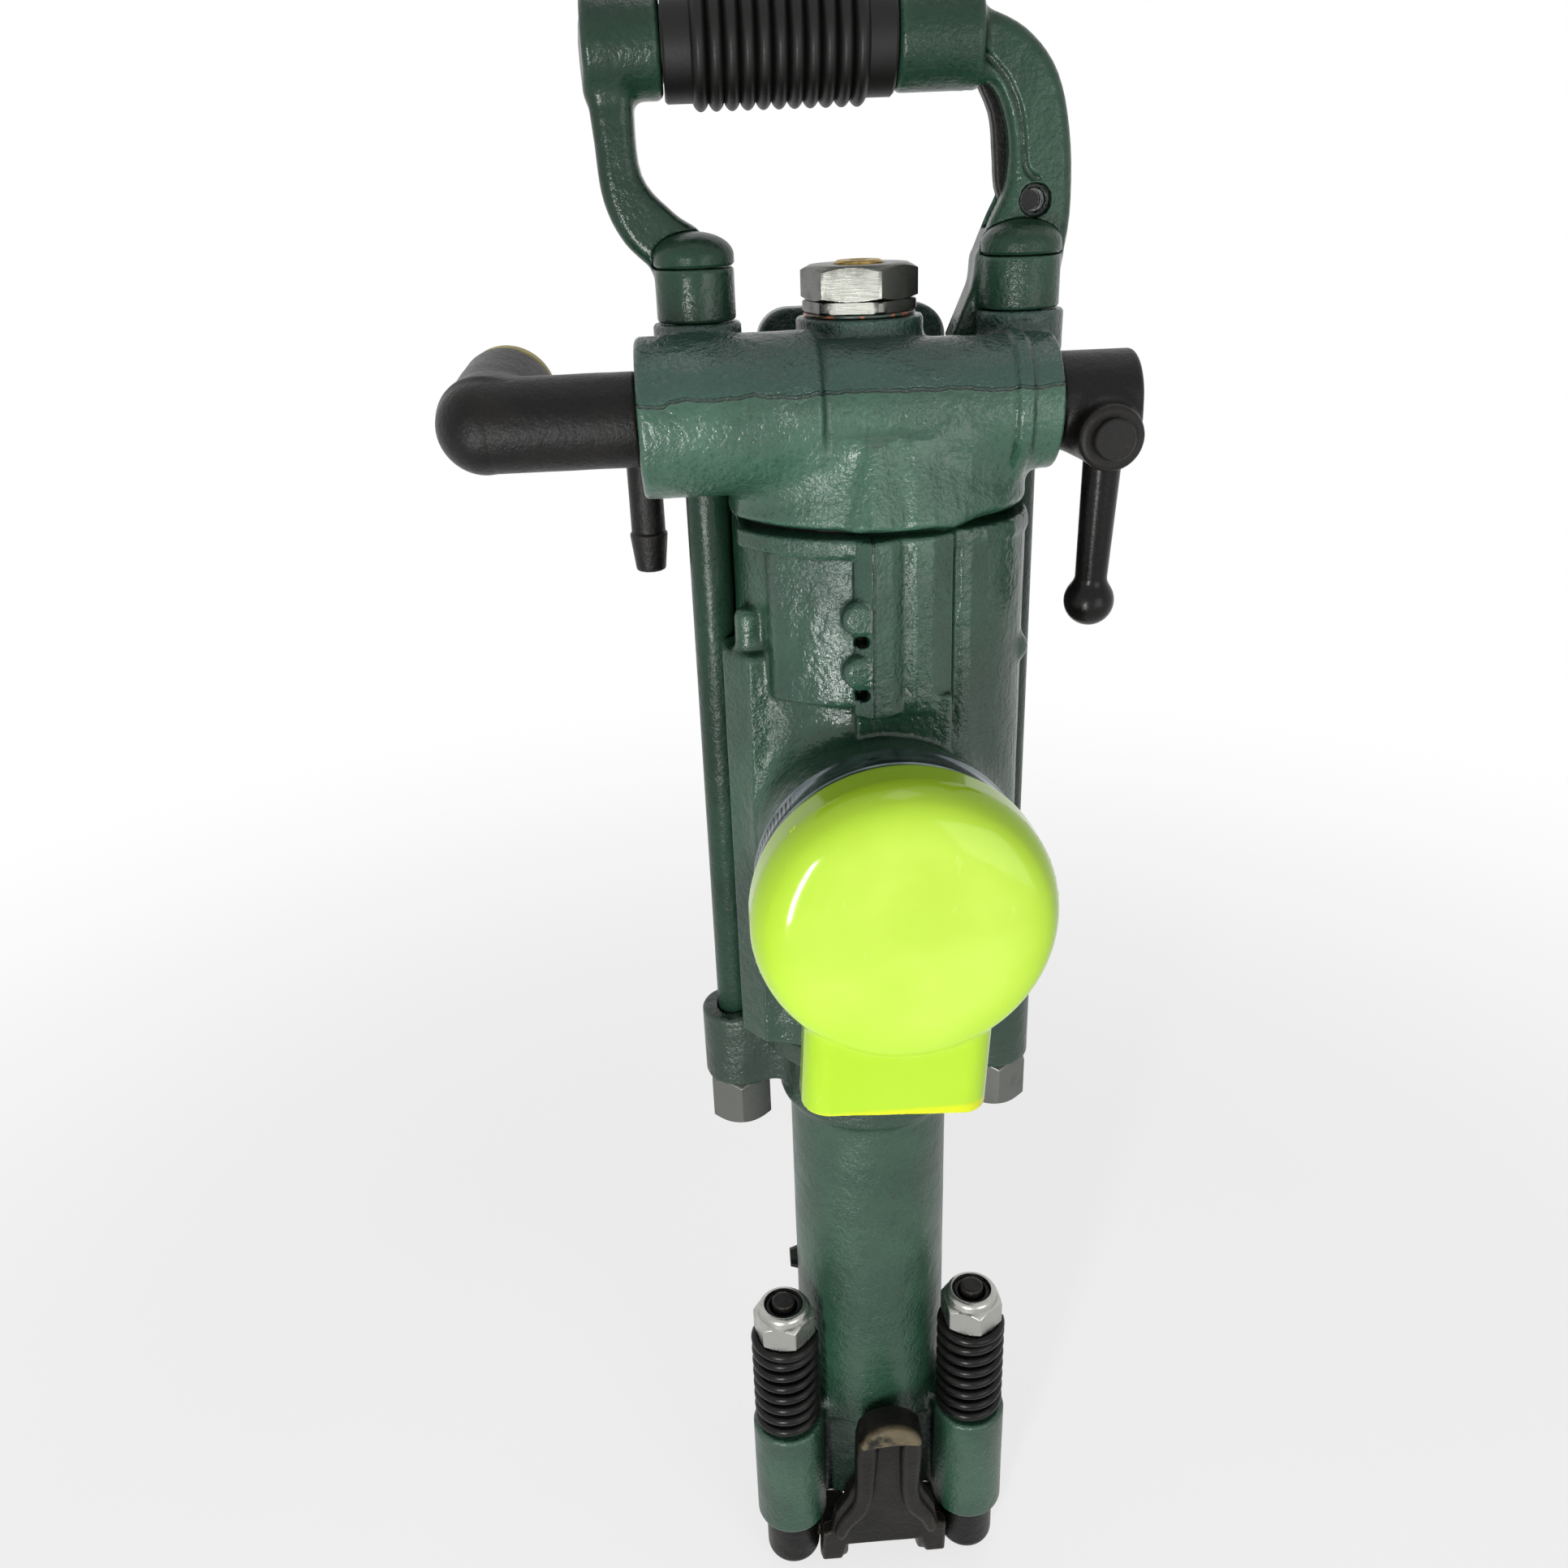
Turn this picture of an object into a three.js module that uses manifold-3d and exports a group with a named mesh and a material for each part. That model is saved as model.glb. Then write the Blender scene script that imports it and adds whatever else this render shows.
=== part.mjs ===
// A hand-held pneumatic rock drill, handle up and nose down, in millimetres.
// The drill axis is Z. The origin is the centre of the nose face, where the drill steel goes in.
// Minus Y is the muffler's side, and minus X is the air elbow's side.
import * as THREE from 'three';
import { mergeVertices } from 'three/addons/utils/BufferGeometryUtils.js';
import Module from 'manifold-3d';

const wasm = await Module();
wasm.setup();

// Clearances and counts that the whole drill shares
const seat = 0.3;
const slip = 0.4;
const running = 0.6;
const overrun = 2;
const largeSides = 28;
const middleSides = 18;
const smallSides = 12;
const barrelRadius = 46;

// Side bolts, which hold the three castings together
const boltOut = 8;
const boltRadius = 7.5;
const boltHole = boltRadius + slip;
const domeRadius = 13.2;
const domeHeight = 10.5;
const domeBand = 3;
const sideNutFlats = 24;
const sideNutHeight = 20;
const boltTail = 2;
const domeSteps = 4;
const boltX = barrelRadius + boltOut;

// Front head
const chuckFlats = 22.8;
const chuckWall = 3.84;
const sleeveFootWall = 3;
const bushWall = 3.7;
const noseWall = 4.9;
const noseLength = 62;
const mouthRadius = 19;
const mouthLip = 12;
const bushHeight = 38;
const stemRadius = 20;
const splineNutWall = 3.1;
const sleeveWall = 3.4;
const headWall = 5;
const headTubeLength = 170;
const earRadius = 14;
const earHeight = 32;
const headCollarProud = 4;
const headCollarDrop = 12;
const headFlangeHeight = 10;
const earBase = noseLength + headTubeLength;
const headTop = earBase + earHeight;
const headPlugRadius = 6;
const headPlugUp = 55;
const headPlugY = 8;
const headPlugRise = 3;
const headPlugDepth = 3;
const headPlugEaseShare = 0.7;
const chuckOuter = chuckFlats / 2 / Math.cos(Math.PI / 6) + chuckWall;
const sleeveFoot = chuckOuter + sleeveFootWall;
const bushRadius = sleeveFoot + running + bushWall;
const noseBore = bushRadius + seat;
const noseRadius = noseBore + noseWall;
const splineNutOuter = stemRadius + running + splineNutWall;
const sleeveOuter = splineNutOuter + seat + sleeveWall;
const headBore = sleeveOuter + running;
const headTubeRadius = headBore + headWall;
const headCollarRadius = headTubeRadius + headCollarProud;
const headPlugZ = noseLength + headPlugUp;
const headPlugSeat = -headTubeRadius + headPlugDepth;
const bushTop = mouthLip + seat + bushHeight;

// Lugs, bolts, springs and nuts that carry the steel retainer
const lugTurn = THREE.MathUtils.degToRad(-35);
const lugRadius = 16;
const lugHeight = 59;
const webInset = 7;
const eyeRadius = 12.3;
const eyeDrop = 15;
const eyeDepth = 27;
const eyeCornerShare = 0.45;
const trunnionRadius = 4.7;
const trunnionReach = 8;
const springWire = 4.2;
const springRadius = 15;
const springRoom = 2.6;
const springLength = 51;
const springTurns = 9;
const springSteps = 8;
const springFaces = 5;
const lockNutFlats = 24;
const lockNutHeight = 16;
const lockHexShare = 0.78;
const lockCollarRadius = 11;
const lockTurns = [THREE.MathUtils.degToRad(16), THREE.MathUtils.degToRad(6)];
const retainerBoltRise = 2;
const retainerTipRadius = 5;
const lugOut = headTubeRadius + springRoom + springRadius;
const lugX = lugOut * Math.cos(lugTurn);
const lugY = lugOut * Math.sin(lugTurn);
const lockNutBase = lugHeight + springLength + 2 * seat;

// Steel retainer, whose outlines are shares of its half width and of its height above the trunnions
const footOuter = lugX - eyeRadius - slip;
const footInner = 16.5;
const footRound = 14;
const footRise = 7;
const tongueTop = 68;
const plateThick = 7;
const plateOut = 16;
const ridgeRise = 4;
const lipReach = 8;
const lipHalfWidth = 12;
const lipHalfHeight = 5;
const lipBevel = 2;
const plateFront = lugY - plateOut;
const plateShares = [
  [0.31, 1], [0.47, 0.96], [0.52, 0.88], [0.52, 0.54], [0.63, 0.42], [0.83, 0.28],
  [0.87, 0.163], [1, 0.145], [1, -0.06], [0.573, -0.06], [0.573, 0.048],
];
const ridgeShares = [
  [0, 0.9], [0.47, 0.9], [0.47, 0.54], [0.57, 0.42], [0.78, 0.28], [0.83, 0.18],
  [0.52, 0.18], [0.45, 0.25], [0.28, 0.37], [0.17, 0.52], [0.17, 0.78], [0, 0.82],
];

// Cylinder
const cylinderWall = 6;
const valveWall = 4;
const frontRoom = 23.3;
const collarProud = 4.5;
const collarHeight = 5;
const wrapProud = 5.5;
const wrapDrop = 58;
const wrapLeft = -36;
const wrapRight = 25;
const shoulderOut = 4.5;
const ribInset = 2;
const ribRise = 160;
const ridgeX = -3;
const ridgeHalfWidth = 3.5;
const ridgeProud = 2.5;
const grooveX = 6;
const grooveRadius = 3;
const bumpX = -9;
const bumpRadius = 5.5;
const bumpDrops = [26, 44];
const bumpHole = 1.8;
const sideBumpRadius = 4.5;
const sideBumpOut = 1.86;
const sideBumpTurn = THREE.MathUtils.degToRad(-152.6);
const sideBumpDrop = 35;
const sideBumpHeight = 12;
const wrapSideShare = 0.5;
const ribShares = [0.48, 0.95, 0.7, 0.65];
const shoulderShares = [0.65, 0.75, 0.75, 0.5, 0.8, 0.87];
const exhaustRise = 93.7;
const exhaustInset = 4;
const exhaustReach = 84;
const exhaustWall = 12;
const cylinderBore = barrelRadius - cylinderWall;
const valveBore = barrelRadius - valveWall;
const collarRadius = barrelRadius + collarProud;
const wrapRadius = barrelRadius + wrapProud;
const shoulderX = boltX + shoulderOut;
const ribX = boltX - ribInset;
const exhaustRadius = barrelRadius - exhaustInset;
const exhaustBore = exhaustRadius - exhaustWall;

// Valve set and ratchet in the top of the cylinder
const valveOuter = valveBore - seat;
const coverThick = 7.7;
const chestHeight = 13.7;
const ratchetSink = 14.7;
const chamberInner = 22;
const chestWall = 5.7;
const chamberRoom = 1;
const valveThick = 5;
const valveTravel = 3;
const ratchetFlange = 3.2;
const ratchetFlangeInset = 2;
const ratchetWall = 11;
const ratchetToothDepth = 2.5;
const ratchetTeeth = 12;
const ratchetFloor = 3.7;
const ratchetToothShare = 0.5;
const ratchetPhaseShare = -1 / 3;
const pawlRoom = 5.5;
const pistonHeadHeight = 50;
const pistonStroke = 60;
const pistonTopRoom = 5;
const guideHeight = 28;
const chamberOuter = valveOuter - chestWall;
const chamberDepth = valveThick + valveTravel + chamberRoom;
const ratchetRoot = valveBore - ratchetWall;
const ratchetTip = ratchetRoot - ratchetToothDepth;
const rifleHeadRadius = ratchetTip - pawlRoom;
const sideBumpX = (barrelRadius + sideBumpOut) * Math.cos(sideBumpTurn);
const sideBumpY = (barrelRadius + sideBumpOut) * Math.sin(sideBumpTurn);
const ratchetFlangeRadius = barrelRadius - ratchetFlangeInset;
const valveBoreDepth = 3 * seat + coverThick + chestHeight + ratchetSink;
const pistonSpan = frontRoom + pistonHeadHeight + pistonStroke + pistonTopRoom;
const cylinderBase = headTop + seat;
const cylinderTop = cylinderBase + guideHeight + pistonSpan + valveBoreDepth - seat;
const exhaustZ = cylinderBase + exhaustRise;
const backBase = cylinderTop + seat + ratchetFlange + seat;
const coverBase = cylinderTop - valveBoreDepth + seat;
const chestBase = coverBase + coverThick + seat;
const ratchetBase = chestBase + chestHeight + seat;

// Rifle bar, pawls and water needle
const rifleTip = 12.5;
const rifleRoot = 10.4;
const rifleFlutes = 8;
const rifleLength = 150;
const rifleSteps = 4;
const rifleToothShare = 0.5;
const rifleHeadHeight = 10;
const pawlPivotRadius = 3;
const pawlPivotShare = 0.8;
const pawlLength = 11;
const pawlThick = 3;
const pawlAngle = THREE.MathUtils.degToRad(-45);
const pawlSwing = THREE.MathUtils.degToRad(25);
const pawlCount = 4;
const needleRadius = 3.2;
const needleReach = 12;
const needleFlange = 8;
const needleFlangeHeight = 5;
const needleRoom = 1.4;
const needleSides = 8;
const rifleHeadBase = ratchetBase + ratchetFloor + seat;

// Piston, guide bush and rotation parts
const pistonSlip = 0.7;
const splineDepth = 2.6;
const stemSplines = 8;
const anvilInset = 1;
const anvilLength = 20;
const rifleNutRadius = 20;
const rifleNutHeight = 38;
const rifleEndRoom = 16;
const guideSpigot = 31;
const sleeveLip = 3;
const sleeveLipInset = 1.5;
const chuckTop = 104;
const anvilRoom = 4;
const splineNutHeight = 42;
const splineShares = [0.5, 0.58];
const sleeveTop = headTop - guideSpigot - running;
const splineBase = sleeveTop - splineNutHeight;
const pistonRadius = cylinderBore - pistonSlip;
const stemRoot = stemRadius - splineDepth;
const anvilRadius = stemRoot - anvilInset;
const anvilBase = chuckTop + anvilRoom;
const needleEnd = anvilBase - needleReach;
const sleeveLipBore = chuckOuter - sleeveLipInset;
const pistonTop = coverBase - pistonTopRoom - pistonStroke;
const pistonBoreDepth = pistonTop + pistonStroke - rifleHeadBase + rifleLength + rifleEndRoom;
const headBase = pistonTop - pistonHeadHeight;

// Back head
const neckHeight = 24;
const coreInset = 10;
const coreHeight = 50;
const crossInset = 22;
const crossRise = 33;
const sleeveOut = 20.5;
const sleeveStepX = -17;
const sleeveRadius = 25.3;
const crossOut = 7.5;
const crossRadius = 21.4;
const endRibInset = 17;
const endRibWidth = 5;
const endRibProud = 1.2;
const padRadius = 14.6;
const padRise = 60;
const padThick = 14;
const padWeb = 28;
const padShare = 0.7;
const plugBossRadius = 21.2;
const airPortRadius = 4;
const legX = 3;
const legFlangeHalfWidth = 35;
const legFlangeHalfHeight = 26;
const legFlangeCorner = 12;
const legFlangeThick = 11;
const legNeckRadius = 25;
const legOut = 13;
const legBore = 17;
const legBoreDepth = 26;
const neckRadius = barrelRadius;
const coreRadius = neckRadius - coreInset;
const crossY = crossInset - neckRadius;
const sleeveLeftEnd = -boltX - sleeveOut;
const crossRightEnd = boltX + crossOut;
const endRibX = crossRightEnd - endRibInset;
const legReach = neckRadius + legOut;
const crossZ = backBase + crossRise;
const padTop = backBase + padRise;

// Needle plug
const plugFlats = 34;
const plugHexHeight = 11.5;
const plugFlangeHeight = 3;
const plugThreadRadius = 13.5;
const plugThreadLength = 16;
const washerThick = 1;
const washerRadius = 18.6;
const plugFlangeRadius = 18.9;
const plugTurn = THREE.MathUtils.degToRad(15);
const capsuleRadius = 8;
const capsuleRise = 1.2;
const sealSection = 3;
const sealPocket = sealSection + needleFlangeHeight + 3 * seat;
const pocketTop = padTop - plugThreadLength;
const plugBase = padTop + washerThick + 2 * seat;
const hexBase = plugBase + plugFlangeHeight;
const hexEaseShare = 0.7;

// Handle, whose arms are outlines in shares of their reach beyond the bolts and of the grip's height
const handleY = 10;
const handleRise = 81.6;
const barRadius = 11;
const barInset = [4.5, 10];
const gripRadius = 17;
const ribRadius = 19.5;
const gripInset = [24.5, 27.4];
const gripRibs = 11;
const gripSides = 14;
const gripSmoothShares = [0.12, 0.88];
const socketRadius = 16;
const leftSocketOut = 30.5;
const rightSocketInset = 14;
const armDepth = 20;
const armBevel = 2;
const footHeight = 16.6;
const footRadius = 13;
const rightArmReach = 16;
const leftSocketEnd = -boltX - leftSocketOut;
const rightSocketEnd = boltX - rightSocketInset;
const barLeft = leftSocketEnd + barInset[0];
const barRight = rightSocketEnd - barInset[1];
const gripLeft = leftSocketEnd + gripInset[0];
const gripRight = rightSocketEnd - gripInset[1];
const footBase = padTop + seat;
const seamZ = footBase + footHeight + seat;
const handleZ = footBase + handleRise;
const leftArmShares = [
  [0.98, 1.06], [0.957, 0.657], [0.905, 0.449], [0.72, 0.3], [0.393, 0.179], [0.2, 0.08], [-0.2, 0.08],
  [-0.2, 0.228], [-0.085, 0.332], [0.18, 0.404], [0.498, 0.547], [0.531, 0.798], [0.525, 1.06],
];
const rightArmShares = [
  [-1.25, 1.09], [-0.9, 1.09], [0, 1.01], [0.68, 0.853], [1, 0.596], [0.97, 0.259], [0.625, 0.08],
  [-0.5, 0.08],
  [-0.844, 0.179], [-0.475, 0.363], [-0.169, 0.542], [-0.4, 0.632], [-0.706, 0.816], [-1.25, 0.841],
];

// Trigger, whose outline and slot are shares of its height above the pivot
const triggerY = 12;
const triggerThick = 6;
const triggerHeight = 43;
const pivotOut = 2.6;
const pivotRise = 32.8;
const pivotRadius = 3.2;
const pinInset = 2.5;
const plungerRadius = 3;
const plungerLength = 8;
const plungerRoom = 3;
const plungerInset = 0.3;
const plungerRiseShare = 0.484;
const pivotX = boltX + pivotOut;
const pivotZ = footBase + pivotRise;
const plungerX = pivotX - plungerInset;
const plungerEnd = plungerX + plungerLength;
const plungerZ = pivotZ + triggerHeight * plungerRiseShare;
const triggerShares = [
  [-0.12, -0.105], [-0.014, -0.13], [0.09, -0.112], [0.135, 0], [0.102, 0.14], [0.009, 0.326],
  [-0.084, 0.674], [-0.247, 0.93], [-0.398, 1], [-0.444, 0.884], [-0.316, 0.605], [-0.281, 0.326],
  [-0.258, 0.093], [-0.188, -0.058],
];
const slotShares = [
  [-0.526, 0.767], [-0.526, 0.953], [-0.386, 1.116], [-0.153, 1.081], [0.012, 0.791], [0.105, 0.442],
  [0.214, 0.14], [0.214, -0.163], [0.033, -0.233], [-0.293, -0.233], [-0.433, -0.07],
];

// Throttle
const throttleRadius = 12;
const throttleInner = 8;
const throttleLeft = -22;
const throttleHollow = 60;
const throttleStub = 14;
const hubRadius = 15.4;
const hubLength = 28.5;
const lobeRadius = 11.5;
const lobeDrop = 9;
const lobeReach = 24;
const lobeShare = 0.46;
const leverPinRadius = 6.6;
const leverPinHead = 3;
const leverPinShank = 3.2;
const leverPinLength = 12;
const rodTopRadius = 6.3;
const rodEndRadius = 4.6;
const rodLength = 51.4;
const rodInset = 6;
const rodForward = 14;
const rodLean = THREE.MathUtils.degToRad(6.7);
const ballRadius = 8.5;
const hubLeft = crossRightEnd + seat;
const lobeX = hubLeft + hubLength * lobeShare;

// Air elbow and its cap
const elbowRadius = 15;
const elbowBore = 10;
const elbowSpigot = 13.8;
const elbowSpigotLength = 22;
const elbowOut = 47.5;
const elbowTilt = THREE.MathUtils.degToRad(8);
const elbowReach = 34;
const elbowCollar = 17;
const elbowCollarLength = 8;
const capRadius = 15.5;
const capHead = 6;
const capPlug = 12;
const capEaseShare = 0.85;
const elbowBendX = sleeveLeftEnd - elbowOut;
const spigotEnd = sleeveLeftEnd + elbowSpigotLength;
const sealEnd = spigotEnd + sealSection + 2 * seat;

// Water nozzle
const nozzleY = 20;
const nozzleOut = 30;
const nozzleDrop = 9.1;
const nozzleRadius = 6.2;
const nozzleBore = 3.6;
const ferruleDrop = 38;
const ferruleLength = 14;
const ferruleRadius = 7;
const ferruleEndRadius = 5.4;
const nozzleBossRadius = 10;
const nozzleDepth = 12;
const nozzleBossX = -neckRadius;
const nozzleSeat = nozzleBossX + nozzleDepth + seat;
const nozzleX = nozzleBossX - nozzleOut;
const nozzleZ = crossZ - nozzleDrop;
const ferruleTop = nozzleZ - ferruleDrop;
const ferruleBottom = ferruleTop - ferruleLength;

// Muffler and its clamp
const mufflerProud = 8;
const mufflerOut = 4;
const mufflerDepth = 31;
const mufflerWall = 3;
const mufflerShares = [
  [0, 0], [0.95, 0], [1, 0.12], [1, 0.62], [0.96, 0.82], [0.82, 0.95], [0, 1],
];
const spoutHalfWidth = 31;
const spoutHalfDepth = 14.5;
const spoutOut = 15;
const spoutDrop = 66.5;
const spoutCorner = 10;
const neckWall = 2.4;
const neckLap = 12;
const bandThick = 1;
const bandWidth = 12;
const bandInset = 1;
const screwAngle = THREE.MathUtils.degToRad(-145);
const housingHalfWidth = 8;
const housingHeight = 9;
const housingSink = 0.5;
const screwHalfLength = 13;
const screwRadius = 3;
const mufflerRadius = exhaustRadius + mufflerProud;
const mufflerBack = -exhaustReach - mufflerOut;
const spoutY = mufflerBack - spoutOut;
const spoutBottom = exhaustZ - spoutDrop;
const neckBack = -exhaustReach + neckLap;
const neckInner = exhaustRadius + running;
const neckOuter = neckInner + neckWall;
const bandInner = neckOuter + seat;

function freshMaterial(color, roughness, metalness) {
  return new THREE.MeshStandardMaterial({ color, roughness, metalness });
}

const finishes = {
  green: () => freshMaterial(0x3f6450, 0.35, 0.2),
  black: () => freshMaterial(0x242220, 0.55, 0.6),
  steel: () => freshMaterial(0x9a9a98, 0.35, 0.9),
  zinc: () => freshMaterial(0xb4b6b8, 0.25, 0.95),
  bronze: () => freshMaterial(0xa8783c, 0.35, 0.9),
  copper: () => freshMaterial(0xc0714a, 0.35, 0.9),
  rubber: () => freshMaterial(0x171615, 0.75, 0),
  lime: () => freshMaterial(0xb8f01c, 0.15, 0),
  yellow: () => freshMaterial(0x9a7c10, 0.35, 0),
};

// A closed geometry as a solid that can be joined and cut
function toSolid(geometry) {
  const bare = geometry.clone();
  bare.deleteAttribute('normal');
  bare.deleteAttribute('uv');
  const merged = mergeVertices(bare);
  const corners = merged.index.array;
  const kept = [];
  for (let i = 0; i < corners.length; i += 3) {
    const [a, b, c] = [corners[i], corners[i + 1], corners[i + 2]];
    if (a !== b && b !== c && c !== a) kept.push(a, b, c);
  }
  const vertProperties = new Float32Array(merged.attributes.position.array);
  return new wasm.Manifold(new wasm.Mesh({ numProp: 3, vertProperties, triVerts: new Uint32Array(kept) }));
}

function toGeometry(solid) {
  const mesh = solid.getMesh();
  const geometry = new THREE.BufferGeometry();
  geometry.setAttribute('position', new THREE.BufferAttribute(mesh.vertProperties, 3));
  geometry.setIndex(new THREE.BufferAttribute(mesh.triVerts, 1));
  return geometry;
}

function join(...geometries) {
  return toGeometry(geometries.map(toSolid).reduce((sum, next) => sum.add(next)));
}

function cut(geometry, ...tools) {
  return toGeometry(tools.map(toSolid).reduce((rest, tool) => rest.subtract(tool), toSolid(geometry)));
}

function common(first, second) {
  return toGeometry(toSolid(first).intersect(toSolid(second)));
}

// A round bar along x, y or z from start to end, at a and b on the two other axes in their order
function bar(axis, radius, start, end, a = 0, b = 0, sides = middleSides, startRadius = radius) {
  const geometry = new THREE.CylinderGeometry(radius, startRadius, end - start, sides);
  const middle = (start + end) / 2;
  if (axis === 'x') return geometry.rotateZ(-Math.PI / 2).translate(middle, a, b);
  if (axis === 'y') return geometry.translate(a, middle, b);
  return geometry.rotateX(Math.PI / 2).translate(a, b, middle);
}

function pipe(axis, outer, inner, start, end, a = 0, b = 0, sides = middleSides) {
  const hole = bar(axis, inner, start - overrun, end + overrun, a, b, sides);
  return cut(bar(axis, outer, start, end, a, b, sides), hole);
}

function block(x0, x1, y0, y1, z0, z1) {
  const geometry = new THREE.BoxGeometry(x1 - x0, y1 - y0, z1 - z0);
  return geometry.translate((x0 + x1) / 2, (y0 + y1) / 2, (z0 + z1) / 2);
}

function ball(radius, x, y, z, sides = smallSides) {
  return new THREE.SphereGeometry(radius, sides, sides / 2).rotateX(Math.PI / 2).translate(x, y, z);
}

// A profile of radius and height pairs, turned round a line along z
function turned(profile, sides = middleSides, x = 0, y = 0) {
  const points = profile.map(([radius, z]) => new THREE.Vector2(radius, z));
  return new THREE.LatheGeometry(points, sides).rotateX(Math.PI / 2).translate(x, y, 0);
}

function outline(points) {
  return new THREE.Shape(points.map(([a, b]) => new THREE.Vector2(a, b)));
}

// A flat outline pushed along z, or along y with its points read as x and z
function slab(axis, shape, start, end, bevel = 0, steps = 1) {
  const settings = { depth: end - start - 2 * bevel, curveSegments: 4, bevelEnabled: bevel > 0 };
  Object.assign(settings, { bevelThickness: bevel, bevelSize: bevel });
  Object.assign(settings, { bevelOffset: -bevel, bevelSegments: steps });
  const geometry = new THREE.ExtrudeGeometry(shape, settings);
  if (axis === 'z') return geometry.translate(0, 0, start + bevel);
  return geometry.rotateX(Math.PI / 2).translate(0, end - bevel, 0);
}

// A hexagonal bar along z, with its corners eased at the ends that are asked for
function hexBar(flats, start, end, x, y, turn, easeTop, easeBottom) {
  const corner = flats / 2 / Math.cos(Math.PI / 6);
  const wide = corner + seat;
  const ease = (corner - flats / 2) * hexEaseShare;
  const hex = new THREE.CylinderGeometry(corner, corner, end - start, 6).rotateX(Math.PI / 2);
  hex.rotateZ(turn).translate(x, y, (start + end) / 2);
  const bottom = easeBottom ? flats / 2 : wide;
  const top = easeTop ? flats / 2 : wide;
  const profile = [
    [0, start], [bottom, start], [wide, start + ease], [wide, end - ease], [top, end], [0, end],
  ];
  return common(hex, turned(profile, middleSides, x, y));
}

const drill = new THREE.Group();

function addPiece(name, geometry, finish) {
  const plain = toGeometry(toSolid(geometry)).toNonIndexed();
  plain.computeVertexNormals();
  const piece = new THREE.Mesh(plain, finishes[finish]());
  piece.name = name;
  drill.add(piece);
}

// Front head: nose, tube, ears for the side bolts and lugs for the retainer bolts
function frontHead() {
  const collarBase = earBase - headCollarDrop;
  const collar = turned([
    [0, collarBase], [headTubeRadius, collarBase],
    [headCollarRadius, collarBase + headCollarProud], [headCollarRadius, headTop], [0, headTop],
  ], largeSides);
  const parts = [
    bar('z', noseRadius, 0, noseLength + overrun, 0, 0, middleSides),
    bar('z', headTubeRadius, noseLength, headTop, 0, 0, largeSides),
    collar,
    bar('z', barrelRadius, headTop - headFlangeHeight, headTop, 0, 0, largeSides),
  ];
  for (const side of [-1, 1]) {
    const [inner, outer] = [Math.min(0, side * boltX), Math.max(0, side * boltX)];
    parts.push(bar('z', earRadius, earBase, headTop, side * boltX, 0));
    parts.push(block(inner, outer, -earRadius, earRadius, earBase, headTop));
    const [lugIn, lugOut] = [Math.min(0, side * lugX), Math.max(0, side * lugX)];
    parts.push(bar('z', lugRadius, 0, lugHeight, side * lugX, lugY));
    parts.push(block(lugIn, lugOut, lugY + webInset, 0, 0, lugHeight));
  }
  const cuts = [
    bar('z', mouthRadius, -overrun, mouthLip + overrun),
    bar('z', noseBore, mouthLip, bushTop + overrun, 0, 0, largeSides),
    bar('z', headBore, bushTop, headTop + overrun, 0, 0, largeSides),
    bar(
      'x', headPlugRadius + seat, -headTubeRadius - overrun, headPlugSeat,
      headPlugY, headPlugZ, smallSides,
    ),
  ];
  for (const side of [-1, 1]) {
    cuts.push(bar('z', boltHole, earBase - overrun, headTop + overrun, side * boltX, 0, smallSides));
    cuts.push(bar('z', boltHole, -overrun, lugHeight + overrun, side * lugX, lugY, smallSides));
  }
  return cut(join(...parts), ...cuts);
}

// The upright places where the side bolts pass along the cylinder and the back head's neck
function boltGrooves(start, end) {
  return [-1, 1].map((side) => bar('z', boltHole, start, end, side * boltX, 0, smallSides));
}

function shoulder(start, end) {
  const front = Math.sqrt(collarRadius ** 2 - wrapRight ** 2);
  return slab('z', outline([
    [0, 0], [0, -barrelRadius * shoulderShares[0]], [wrapRight, -front],
    [shoulderX * shoulderShares[1], -collarRadius * shoulderShares[2]],
    [shoulderX, -collarRadius * shoulderShares[3]], [shoulderX, -boltRadius * shoulderShares[4]],
    [barrelRadius * shoulderShares[5], 0],
  ]), start, end);
}

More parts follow.
